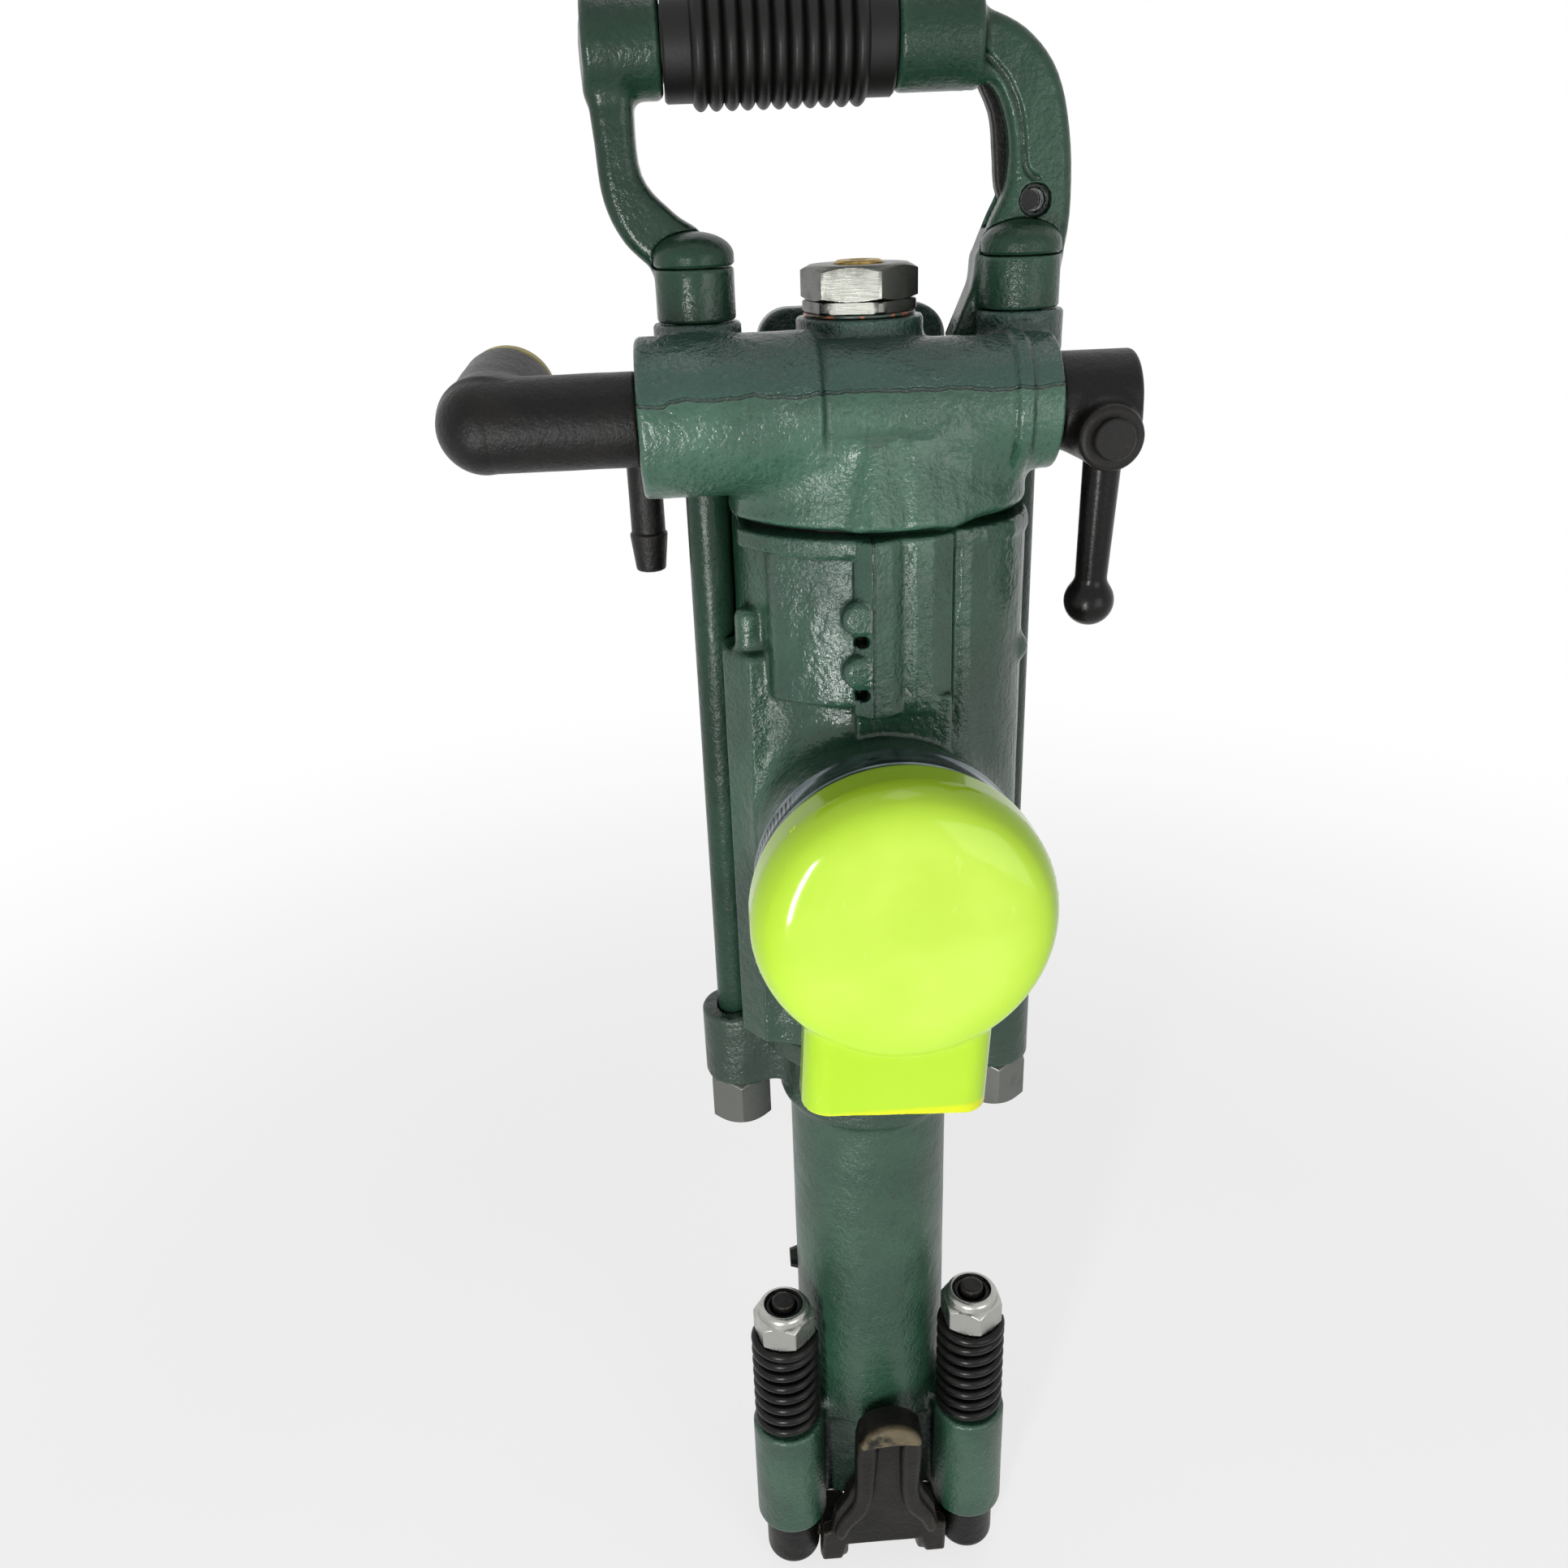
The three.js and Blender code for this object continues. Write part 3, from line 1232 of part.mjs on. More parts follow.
// One unbroken tube round the centre line, with its section square to the line at every point
function springTube(path) {
  const [points, faces] = [[], []];
  const last = path.length - 1;
  path.forEach((point, i) => {
    const along = path[Math.min(i + 1, last)].clone().sub(path[Math.max(i - 1, 0)]).normalize();
    const out = new THREE.Vector3(point.x, point.y, 0).normalize();
    out.addScaledVector(along, -out.dot(along)).normalize();
    const side = along.clone().cross(out);
    for (let j = 0; j < springFaces; j += 1) {
      const angle = (j / springFaces) * 2 * Math.PI;
      const spot = point.clone().addScaledVector(out, Math.cos(angle) * springWire / 2);
      points.push(...spot.addScaledVector(side, Math.sin(angle) * springWire / 2).toArray());
      const [a, b] = [i * springFaces + j, i * springFaces + ((j + 1) % springFaces)];
      if (i < last) faces.push(a, b, b + springFaces, a, b + springFaces, a + springFaces);
    }
  });
  const end = last * springFaces;
  for (let j = 1; j < springFaces - 1; j += 1) faces.push(0, j + 1, j, end, end + j, end + j + 1);
  const geometry = new THREE.BufferGeometry();
  geometry.setAttribute('position', new THREE.Float32BufferAttribute(points, 3));
  return geometry.setIndex(faces);
}

function retainerSpring(side) {
  return springTube(springPath()).translate(side * lugX, lugY, lugHeight + seat);
}

// Steel retainer: a ridged plate with a lip at its top, two feet and a trunnion outside each foot
function retainer() {
  const height = tongueTop + eyeDrop;
  const front = plateFront - ridgeRise;
  const back = plateFront + plateThick;
  const parts = [
    slab('y', roundedPlate(lipHalfWidth, lipHalfHeight, lipHalfHeight - seat, 0, tongueTop - lipHalfHeight / 2),
      plateFront - lipReach, back, lipBevel),
  ];
  for (const side of [-1, 1]) {
    const plate = [[0, plateShares[plateShares.length - 1][1]], [0, 1], ...plateShares];
    parts.push(slab('y', sharedOutline(plate, side * footOuter, height, 0, -eyeDrop), plateFront, back));
    const ridge = sharedOutline(ridgeShares, side * footOuter, height, 0, -eyeDrop);
    parts.push(slab('y', ridge, front, plateFront + seat));
    const [inner, outer] = side < 0 ? [-footOuter, -footInner] : [footInner, footOuter];
    const foot = bar('x', footRound, inner, outer, lugY, -eyeDrop);
    const low = block(
      inner - overrun, outer + overrun, lugY - footRound, lugY + footRound,
      -eyeDrop - footRound, -eyeDrop + footRise,
    );
    parts.push(common(foot, low));
    const reach = footOuter + trunnionReach;
    const [near, far] = side < 0 ? [-reach, -footInner] : [footInner, reach];
    parts.push(bar('x', trunnionRadius, near, far, lugY, -eyeDrop, smallSides));
  }
  return join(...parts);
}

addPiece('front_head', frontHead(), 'green');
addPiece('cylinder', cylinderCasting(), 'green');
addPiece('back_head', backHead(), 'green');
addPiece('head_side_plug', headPlug(), 'black');
for (const [side, word] of [[-1, 'left'], [1, 'right']]) {
  addPiece(`side_bolt_${word}`, sideBolt(side), 'green');
  addPiece(`side_nut_${word}`, sideNut(side), 'zinc');
  addPiece(`retainer_bolt_${word}`, retainerBolt(side), 'black');
  addPiece(`retainer_nut_${word}`, lockNut(side), 'zinc');
  addPiece(`retainer_spring_${word}`, retainerSpring(side), 'black');
}
addPiece('retainer', retainer(), 'black');
addPiece('front_head_bush', frontHeadBush(), 'bronze');
addPiece('rotation_sleeve', rotationSleeve(), 'steel');
addPiece('chuck_bush', chuckBush(), 'steel');
addPiece('spline_nut', splineNut(), 'bronze');
addPiece('guide_bush', guideBush(), 'bronze');
addPiece('piston', piston(), 'steel');
addPiece('rifle_nut', rifleNut(), 'bronze');
addPiece('rifle_bar', rifleBar(), 'steel');
for (let i = 0; i < pawlCount; i += 1) addPiece(`pawl_${i + 1}`, pawl(i), 'steel');
addPiece('ratchet_ring', ratchetRing(), 'steel');
addPiece('valve_cover', valveCover(), 'steel');
addPiece('valve_chest', valveChest(), 'steel');
addPiece('distribution_valve', distributionValve(), 'steel');
addPiece('needle_plug', needlePlug(), 'zinc');
addPiece('plug_washer', plugWasher(), 'copper');
addPiece('plug_core', plugCore(), 'bronze');
addPiece('water_needle', waterNeedle(), 'steel');
addPiece('needle_seal', needleSeal(), 'rubber');
addPiece('handle_left_arm', leftArm(), 'green');
addPiece('handle_right_arm', rightArm(), 'green');
addPiece('handle_bar', handleBar(), 'steel');
addPiece('grip_sleeve', gripSleeve(), 'rubber');
addPiece('trigger', trigger(), 'black');
addPiece('trigger_pin', triggerPin(), 'steel');
addPiece('retract_plunger', retractPlunger(), 'steel');
addPiece('throttle_valve', throttleValve(), 'steel');
addPiece('lever_hub', leverHub(), 'black');
addPiece('lever_pin', leverPin(), 'steel');
addPiece('lever_rod', leverRod(), 'black');
addPiece('air_elbow', airElbow(), 'black');
addPiece('elbow_seal', elbowSeal(), 'rubber');
addPiece('elbow_cap', elbowCap(), 'yellow');
addPiece('water_nozzle', waterNozzle(), 'black');
addPiece('muffler', muffler(), 'lime');
addPiece('muffler_clamp', mufflerClamp(), 'zinc');
addPiece('clamp_screw', clampScrew(), 'zinc');

console.log(`least gap between the retainer springs' turns: ${springGap(springPath()).toFixed(2)} mm`);

export default drill;
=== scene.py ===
import math
import bpy
import numpy as np
from mathutils import Matrix, Vector


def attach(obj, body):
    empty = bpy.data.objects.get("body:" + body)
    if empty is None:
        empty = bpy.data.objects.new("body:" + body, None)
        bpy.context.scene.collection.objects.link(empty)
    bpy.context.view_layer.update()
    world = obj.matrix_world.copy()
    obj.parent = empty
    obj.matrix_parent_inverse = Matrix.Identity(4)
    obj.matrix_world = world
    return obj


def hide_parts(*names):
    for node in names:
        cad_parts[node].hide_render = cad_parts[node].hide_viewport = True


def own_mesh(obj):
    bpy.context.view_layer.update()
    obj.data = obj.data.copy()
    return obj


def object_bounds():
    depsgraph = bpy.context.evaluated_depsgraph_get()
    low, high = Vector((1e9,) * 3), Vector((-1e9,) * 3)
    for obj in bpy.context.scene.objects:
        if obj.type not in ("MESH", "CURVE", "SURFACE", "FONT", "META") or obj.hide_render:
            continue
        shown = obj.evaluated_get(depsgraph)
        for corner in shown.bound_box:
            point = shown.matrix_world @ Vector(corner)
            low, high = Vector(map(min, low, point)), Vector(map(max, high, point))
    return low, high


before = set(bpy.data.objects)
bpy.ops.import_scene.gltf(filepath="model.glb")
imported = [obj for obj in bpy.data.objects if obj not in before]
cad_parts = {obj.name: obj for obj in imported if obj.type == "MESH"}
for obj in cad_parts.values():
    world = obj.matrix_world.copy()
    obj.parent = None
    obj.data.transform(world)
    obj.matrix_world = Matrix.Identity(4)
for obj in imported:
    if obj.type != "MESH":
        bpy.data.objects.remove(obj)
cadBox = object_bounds()
print("frame loaded")

mm = 0.001
coarse = 1.0


# Sizes that several pieces share, in mm. A place is given as the two coordinates across its axis
bolt = {"x": 54.0, "radius": 7.5, "hole": 7.9}
lug = {"x": 41.45, "y": -29.02, "top": 59.0}
back = {"base": 470.4, "top": 531.1}
cross = {"y": -24.0, "z": 504.1, "left": -74.5, "right": 59.6}
handle = {"y": 10.0, "z": 613.0, "foot": 531.4, "rise": 81.6}
exhaust = {"z": 358.0}
trigger = {"height": 43.0, "x": 58.2, "z": 564.2, "y": 12.0, "pin": 3.5, "cell": 0.6}
centre, boltPlace, lugPlace = (0, 0), (bolt["x"], 0), (lug["x"], lug["y"])
crossPlace, handlePlace = (cross["y"], cross["z"]), (handle["y"], handle["z"])
triggerPlace = (trigger["x"], trigger["z"])
bothSides = (("left", -1), ("right", 1))


# Shapes as fields. Each takes p = (x, y, z) arrays in mm and gives the distance to its
# surface, negative inside

def span(*parts):  # length of a vector given by its parts
    return np.sqrt(sum(part * part for part in parts))


def rounded(across, along, ease):
    # two distances that meet at an edge of radius ease: the length of what lies outside both, less ease
    across, along = across + ease, along + ease
    outside = span(np.maximum(across, 0), np.maximum(along, 0))
    return np.minimum(np.maximum(across, along), 0) + outside - ease


def rod(p, axis, centre, radius, start, end, ease=1.0, taper=0.0):
    # round bar: distance from its axis less its radius; the radius grows by taper from start to end
    a, b = [i for i in range(3) if i != axis]
    share = np.clip((p[axis] - start) / (end - start), 0, 1)
    across = span(p[a] - centre[0], p[b] - centre[1]) - radius - taper * share
    return rounded(across, np.abs(p[axis] - (start + end) / 2) - (end - start) / 2, ease)


def brick(p, low, high, ease=1.0):  # box between two corners
    gaps = [np.abs(p[i] - (low[i] + high[i]) / 2) - (high[i] - low[i]) / 2 + ease for i in range(3)]
    outside = span(*[np.maximum(gap, 0) for gap in gaps])
    return np.minimum(np.maximum(np.maximum(gaps[0], gaps[1]), gaps[2]), 0) + outside - ease


def ball(p, centre, radius):
    return span(*[p[i] - centre[i] for i in range(3)]) - radius


def stick(p, start, end, radius, endRadius=None):
    # round-ended bar between two points: distance to the line less a radius that changes along it
    start, end = np.array(start, float), np.array(end, float)
    run = end - start
    away = [p[i] - start[i] for i in range(3)]
    share = np.clip(sum(away[i] * run[i] for i in range(3)) / run.dot(run), 0, 1)
    last = radius if endRadius is None else endRadius
    return span(*[away[i] - share * run[i] for i in range(3)]) - radius - (last - radius) * share


def barrel(p, start, end, radius, endRadius, ease=1.0):
    # flat-ended bar between two points: distance across the line, joined with the distance past its ends
    start, end = np.array(start, float), np.array(end, float)
    run = end - start
    length = math.sqrt(run.dot(run))
    away = [p[i] - start[i] for i in range(3)]
    along = sum(away[i] * run[i] for i in range(3)) / length
    across = np.sqrt(np.maximum(sum(part * part for part in away) - along * along, 0))
    across = across - radius - (endRadius - radius) * np.clip(along / length, 0, 1)
    return rounded(across, np.abs(along - length / 2) - length / 2, ease)


def flatShape(u, v, points):
    # signed distance to a closed outline: the least distance to its edges, with a sign by how often they
    # are crossed
    best, sign = 1e9, 1.0
    for (au, av), (bu, bv) in zip(points, points[1:] + points[:1]):
        eu, ev = bu - au, bv - av
        wu, wv = u - au, v - av
        share = np.clip((wu * eu + wv * ev) / (eu * eu + ev * ev), 0, 1)
        best = np.minimum(best, (wu - eu * share) ** 2 + (wv - ev * share) ** 2)
        above, below, left = v >= av, v < bv, eu * wv > ev * wu
        sign = np.where((above & below & left) | (~above & ~below & ~left), -sign, sign)
    return sign * np.sqrt(best)


def slab(p, axis, points, start, end, ease=1.0):
    # closed outline pushed along an axis
    a, b = [i for i in range(3) if i != axis]
    across = flatShape(p[a], p[b], points)
    return rounded(across, np.abs(p[axis] - (start + end) / 2) - (end - start) / 2, ease)


def smoothOutline(points, steps=5):
    # a closed curve through the points: each span is a cubic whose slopes are half its neighbours' difference
    points = np.array(points, float)
    before, after, later = [np.roll(points, shift, 0) for shift in (1, -1, -2)]
    curve = []
    for t in np.arange(steps) / steps:
        ease, rise, fall = 2 * t ** 3 - 3 * t ** 2 + 1, t ** 3 - 2 * t ** 2 + t, t ** 3 - t ** 2
        run = ease * points + (1 - ease) * after + rise * (after - before) / 2
        curve.append(run + fall * (later - points) / 2)
    return np.stack(curve, 1).reshape(-1, 2).tolist()


def weld(first, second, fillet):  # smooth union, with a cast fillet of about this radius
    share = np.clip(0.5 + 0.5 * (second - first) / fillet, 0, 1)
    return second * (1 - share) + first * share - fillet * share * (1 - share)


def carve(solid, tool, fillet):  # smooth cut
    return -weld(-solid, tool, fillet)


def within(first, second, fillet):  # smooth overlap
    return -weld(-first, -second, fillet)


def plate(p, axis, place, halves, corner, start, end, ease):
    # block along an axis: distance past its sides, rounded by corner where two sides meet
    a, b = [i for i in range(3) if i != axis]
    u, v = np.abs(p[a] - place[0]) - halves[0] + corner, np.abs(p[b] - place[1]) - halves[1] + corner
    across = span(np.maximum(u, 0), np.maximum(v, 0)) + np.minimum(np.maximum(u, v), 0) - corner
    return rounded(across, np.abs(p[axis] - (start + end) / 2) - (end - start) / 2, ease)


def joined(first, *parts):  # parts are pairs of a shape and its fillet, welded on in turn
    for part, fillet in parts:
        first = weld(first, part, fillet)
    return first


def bored(p, solid, *bores):  # a bore is its axis, centre, radius, start and end, and a fillet if not 0.3
    for axis, place, radius, start, end, *fillet in bores:
        solid = carve(solid, rod(p, axis, place, radius, start, end, 0.2), *(fillet or [0.3]))
    return solid


def post(p, radius, start, end, ease=1.0):  # upright bar on the drill's own axis
    return rod(p, 2, centre, radius, start, end, ease)


def mirrored(p):  # a shape of these places stands at plus and minus x
    return [np.abs(p[0]), p[1], p[2]]


def waves(p, size, seed):  # slow, repeatable unevenness between about -1 and 1: a sum of six plane waves
    rng = np.random.default_rng(seed)
    total = 0
    for _ in range(6):
        way = rng.normal(size=3)
        way *= 2 * math.pi / size / np.linalg.norm(way) * rng.uniform(0.6, 1.4)
        total = total + np.sin(way[0] * p[0] + way[1] * p[1] + way[2] * p[2] + rng.uniform(0, 6.3))
    return total / 6


# Meshes

def makePiece(name, verts, faces, material, replaced, body, normals=None, bend=None):
    mesh = bpy.data.meshes.new(name)
    mesh.from_pydata((np.asarray(verts) * mm).tolist(), [], faces)
    mesh.validate()
    mesh.polygons.foreach_set("use_smooth", np.ones(len(mesh.polygons), bool))
    if normals is not None:
        mesh.normals_split_custom_set_from_vertices(normals.tolist())
    if bend is not None:
        mesh.attributes.new("bend", "FLOAT", "POINT").data.foreach_set("value", bend)
    mesh.update()
    mesh.materials.append(material)
    piece = bpy.data.objects.new(name, mesh)
    bpy.context.scene.collection.objects.link(piece)
    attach(piece, body)
    if replaced:
        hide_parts(*replaced)
    return piece


def castPiece(name, field, low, high, cell, material, replaced=(), body="drill_body"):
    # surface nets: one point in each grid cell that the surface crosses, moved onto the surface along the
    # field's slope, and one face round each grid edge that it crosses; the slope gives the normals too
    cell = cell * coarse
    low, high = np.array(low, float) - 2 * cell, np.array(high, float) + 2 * cell
    counts = np.ceil((high - low) / cell).astype(int) + 1
    axes = [low[i] + cell * np.arange(counts[i]) for i in range(3)]
    values = np.broadcast_to(field(np.meshgrid(*axes, indexing="ij", sparse=True)), tuple(counts))
    inside = values < 0
    cells = tuple(counts - 1)
    corners = [(i, j, k) for i in (0, 1) for j in (0, 1) for k in (0, 1)]
    total = sum(inside[i:i + cells[0], j:j + cells[1], k:k + cells[2]].astype(np.int8) for i, j, k in corners)
    active = (total > 0) & (total < 8)
    spots = np.argwhere(active)
    index = np.full(cells, -1)
    index[active] = np.arange(len(spots))
    sums, hits = np.zeros((len(spots), 3)), np.zeros(len(spots))
    for first in corners:
        for axis in range(3):
            if first[axis]:
                continue
            step = np.eye(3, dtype=int)[axis]
            a, b = values[tuple((spots + first).T)], values[tuple((spots + first + step).T)]
            crossed = (a < 0) != (b < 0)
            share = np.where(crossed, a / np.where(crossed, a - b, 1), 0)
            sums += (np.array(first, float) + share[:, None] * step) * crossed[:, None]
            hits += crossed
    verts = low + cell * (spots + sums / hits[:, None])
    reach = cell * 0.02
    wide = reach * 50

    def fieldAt(points):
        return field(list(points.T))

    def slope(points):
        rises = [fieldAt(points + s) - fieldAt(points - s) for s in np.eye(3) * reach]
        return np.stack(rises, 1) / (2 * reach)

    for _ in range(3):
        gradient = slope(verts)
        move = fieldAt(verts)[:, None] * gradient / np.maximum((gradient ** 2).sum(1), 0.05)[:, None]
        verts = verts - np.clip(move, -cell / 2, cell / 2)
    faces = []
    for axis in range(3):
        b, c = (axis + 1) % 3, (axis + 2) % 3
        below, above = inside.take(range(counts[axis] - 1), axis), inside.take(range(1, counts[axis]), axis)
        edges = np.argwhere(below != above)
        ring = []
        for db, dc in ((1, 1), (0, 1), (0, 0), (1, 0)):
            at = edges.copy()
            at[:, b] -= db
            at[:, c] -= dc
            ring.append(index[tuple(at.T)])
        ring = np.stack(ring, 1)
        flipped = ~below[tuple(edges.T)]
        ring[flipped] = ring[flipped][:, ::-1]
        faces.append(ring)
    faces = np.concatenate(faces)
    normals = slope(verts)
    normals /= np.maximum(np.linalg.norm(normals, axis=1), 1e-9)[:, None]
    # bend is the sum of the field's second differences: above zero on edges, below zero in corners
    around = sum(fieldAt(verts + s) + fieldAt(verts - s) for s in np.eye(3) * wide)
    bend = np.clip((around - 6 * fieldAt(verts)) / wide ** 2, -2, 2).astype(np.float32)
    makePiece(name, verts, faces.tolist(), material, replaced, body, normals, bend)
    print(name, "cast,", 2 * len(faces), "triangles")


def ringFaces(rows, columns, closed=False):
    # the quads of a grid whose columns close on themselves; closed joins the last row to the first, and any
    # other grid has its first and last row capped
    i, j = np.meshgrid(np.arange(rows if closed else rows - 1), np.arange(columns), indexing="ij")
    i, j = i.ravel(), j.ravel()
    below, above, beside = i * columns, (i + 1) % rows * columns, (j + 1) % columns
    faces = np.stack([below + j, below + beside, above + beside, above + j], 1).tolist()
    if not closed:
        faces += [list(range(columns))[::-1], list(range((rows - 1) * columns, rows * columns))]
    return faces


def turnedPiece(name, profile, axis, place, material, replaced=(), body="drill_body", sides=96, flats=None,
                turn=0.0, hollow=False):
    # a profile of (radius, place) pairs carried round an axis; flats limits the radius to a hexagon that
    # wide; a hollow profile closes on itself, and any other has its two ends capped
    profile = np.array(profile, float)
    angles = 2 * math.pi * np.arange(sides) / sides
    radius = np.repeat(profile[:, :1], sides, 1)
    if flats:
        wedge = np.mod(angles - turn + math.pi / 6, math.pi / 3) - math.pi / 6
        radius = np.minimum(radius, flats / 2 / np.cos(wedge))
    u, v = radius * np.cos(angles), radius * np.sin(angles)
    w = np.repeat(profile[:, 1:], sides, 1)
    order = {0: (w, u, v), 1: (v, w, u), 2: (u, v, w)}[axis]
    verts = np.stack([part.ravel() for part in order], 1) + np.insert(np.array(place, float), axis, 0)
    piece = makePiece(name, verts, ringFaces(len(profile), sides, hollow), material, replaced, body)
    piece.data.set_sharp_from_angle(angle=math.radians(40))


def arc(centre, radius, start, end, steps):  # points (radius, place) round a circle, angles in degrees
    angles = np.radians(np.linspace(start, end, steps))
    return [(centre[0] + radius * math.cos(a), centre[1] + radius * math.sin(a)) for a in angles]


def tubePiece(name, path, middle, radius, material, replaced, body, sides=16):
    # a round section carried along a path round an upright line: each ring stands square to the path
    along = np.gradient(path, axis=0)
    along /= np.linalg.norm(along, axis=1)[:, None]
    out = path * [1, 1, 0] - [*middle, 0]
    out -= (out * along).sum(1)[:, None] * along
    out /= np.linalg.norm(out, axis=1)[:, None]
    side = np.cross(along, out)
    angles = 2 * math.pi * np.arange(sides)[:, None] / sides
    rings = path[:, None] + radius * (out[:, None] * np.cos(angles) + side[:, None] * np.sin(angles))
    return makePiece(name, rings.reshape(-1, 3), ringFaces(len(path), sides), material, replaced, body)


# Shader maths: a Value is one socket, and sums on it add Math nodes

class Value:
    def __init__(self, finish, socket):
        self.finish, self.socket = finish, socket

    def pair(self, operation, first, second):
        return self.finish.maths(operation, first, second)

    def __add__(self, other):
        return self.pair("ADD", self, other)

    def __sub__(self, other):
        return self.pair("SUBTRACT", self, other)

    def __rsub__(self, other):
        return self.pair("SUBTRACT", other, self)

    def __mul__(self, other):
        return self.pair("MULTIPLY", self, other)

    __radd__, __rmul__ = __add__, __mul__

    def size(self):
        return self.pair("ABSOLUTE", self, 0)

    def step(self, low, high):  # 0 at low, 1 at high, smooth between
        limits = {"From Min": low, "From Max": high}
        return self.finish.node("ShaderNodeMapRange", {"interpolation_type": "SMOOTHSTEP"}, Value=self,
                                **limits)


class Nodes:  # the node tree of a material or of the world
    def __init__(self, owner):
        owner.use_nodes = True
        self.tree = owner.node_tree

    def set(self, node, key, value):
        socket = node.inputs[key]
        if isinstance(value, Value):
            self.tree.links.new(value.socket, socket)
        else:
            socket.default_value = value

    def node(self, kind, settings=None, *values, out=0, **named):
        node = self.tree.nodes.new(kind)
        for key, value in (settings or {}).items():
            setattr(node, key, value)
        for key, value in list(enumerate(values)) + list(named.items()):
            self.set(node, key, value)
        return Value(self, node.outputs[out])

    def maths(self, operation, *values):
        return self.node("ShaderNodeMath", {"operation": operation}, *values)

    def vector(self, operation, *values, **named):
        return self.node("ShaderNodeVectorMath", {"operation": operation}, *values, **named)

    def seen(self):  # above zero for what the camera sees, straight, in a reflection or through glass
        rays = self.tree.nodes.new("ShaderNodeLightPath")
        names = ("Is Camera Ray", "Is Glossy Ray", "Is Transmission Ray")
        return sum(Value(self, rays.outputs[name]) for name in names)


class Finish(Nodes):
    def __init__(self, name, roughness=0.5, metallic=0.0, **fixed):
        self.material = bpy.data.materials.new(name)
        super().__init__(self.material)
        self.shader = self.tree.nodes["Principled BSDF"]
        self.place = Value(self, self.tree.nodes.new("ShaderNodeTexCoord").outputs["Object"])
        self.set(self.shader, "Roughness", roughness)
        self.set(self.shader, "Metallic", metallic)
        for socket, value in fixed.items():
            self.set(self.shader, socket.replace("_", " "), value)

    def stretched(self, x, y, z):  # object coordinates scaled along each axis
        return self.vector("MULTIPLY", self.place, (x, y, z))

    def away(self, centre=(0, 0, 0), scale=(1, 1, 1)):  # distance from a point, with each axis scaled
        gap = self.vector("MULTIPLY", self.vector("SUBTRACT", self.place, centre), scale)
        return self.vector("LENGTH", gap, out="Value")

    def noise(self, size, detail=2.0, roughness=0.5, place=None):  # size of a blotch in mm
        return self.node("ShaderNodeTexNoise", None, Vector=place or self.place, Scale=1000 / size,
                         Detail=detail, Roughness=roughness)

    def parts(self):  # the three object coordinates, in metres
        node = self.tree.nodes.new("ShaderNodeSeparateXYZ")
        self.tree.links.new(self.place.socket, node.inputs[0])
        return [Value(self, socket) for socket in node.outputs]

    def bend(self):  # how sharply the surface turns: above zero on edges, below zero in corners
        return self.node("ShaderNodeAttribute", {"attribute_name": "bend"}, out="Fac")

    def blend(self, factor, first, second):  # colours given as 0 to 255, or Values
        first, second = [item if isinstance(item, Value) else (*linear(*item), 1) for item in (first, second)]
        node = self.tree.nodes.new("ShaderNodeMix")
        node.data_type = "RGBA"
        self.set(node, 0, factor)
        self.set(node, 6, first)
        self.set(node, 7, second)
        return Value(self, node.outputs[2])

    def bump(self, height, depth, strength):  # depth in mm
        return self.node("ShaderNodeBump", None, Height=height, Distance=depth * mm, Strength=strength)

    def done(self, **links):
        for key, value in links.items():
            self.set(self.shader, key.replace("_", " "), value)
        return self.material


def linear(*colour):  # 0 to 255 as seen, to the shader's own scale
    return [((c / 255 + 0.055) / 1.055) ** 2.4 if c > 10 else c / 255 / 12.92 for c in colour]


# edge is lighter for wear and a painted highlight on edges, upper is a painted bluish sky tint on tops, and
# dark also serves as painted shade
paintLook = {"light": (45, 80, 62), "mid": (32, 63, 48), "dark": (10, 21, 15), "edge": (74, 106, 90),
             "upper": (28, 58, 56), "speck": (30, 38, 32), "line": (16, 24, 20), "grain": 1.5}
# the same paint made lighter for the back head: painted light
litBackLook = {**paintLook, "light": (62, 98, 80), "mid": (48, 82, 66)}


def hammeredPaint(name, seam=None, dim=0.0, specular=0.5, depth=0.6, soft=0.0, look=paintLook):
    # dim darkens the whole finish as painted shade; a seam gives a line, a coarser region painted with a
    # bluish sky tint, and a region of painted shade
    f = Finish(name, Specular_IOR_Level=specular)
    bend = f.bend()
    colour = f.blend(f.noise(46, 3.0).step(0.36, 0.66), look["mid"], look["light"])
    dimples = f.noise(look["grain"], 3.0, 0.6)
    colour = f.blend(dimples.step(0.52, 0.3) * 0.3, colour, look["dark"])
    specks = f.noise(3.1, 5.0, 0.75).step(0.7, 0.76) * 0.6
    colour = f.blend(specks, colour, look["speck"])
    # lighter on edges: wear, and also a painted highlight
    colour = f.blend(bend.step(0.1, 1.0) * 0.4, colour, look["edge"])
    # darker in corners and creases: painted shade
    colour = f.blend(bend.step(-0.08, -0.7) * 0.5, colour, look["dark"])
    rippled = f.noise(34, 2.0).step(0.35, 0.65)
    height = dimples * (rippled * 0.8 + 0.45) + f.noise(5.5, 3.0) * 1.4
    rough = f.noise(9, 3.0) * 0.2 + dimples * 0.1 + (soft + 0.08)
    if dim:
        # painted shade over the whole piece
        colour = f.blend(dim, colour, look["dark"])
    if seam:
        line, coarserSkyTinted, darker = seam(f)
        # the coarser region takes a painted bluish sky tint, and the darker region takes painted shade
        colour = f.blend(coarserSkyTinted * 0.6, colour, look["upper"])
        colour = f.blend(darker * 0.6, colour, look["dark"])
        colour = f.blend(line * 0.6, colour, look["line"])
        height = height * (coarserSkyTinted * 0.5 + 1) - line * 1.4
    return f.done(Base_Color=colour, Roughness=rough, Normal=f.bump(height, depth, 0.9))


# corner is the painted shade in corners and creases
ironLook = {"fleck": (92, 88, 82), "corner": (10, 10, 9)}


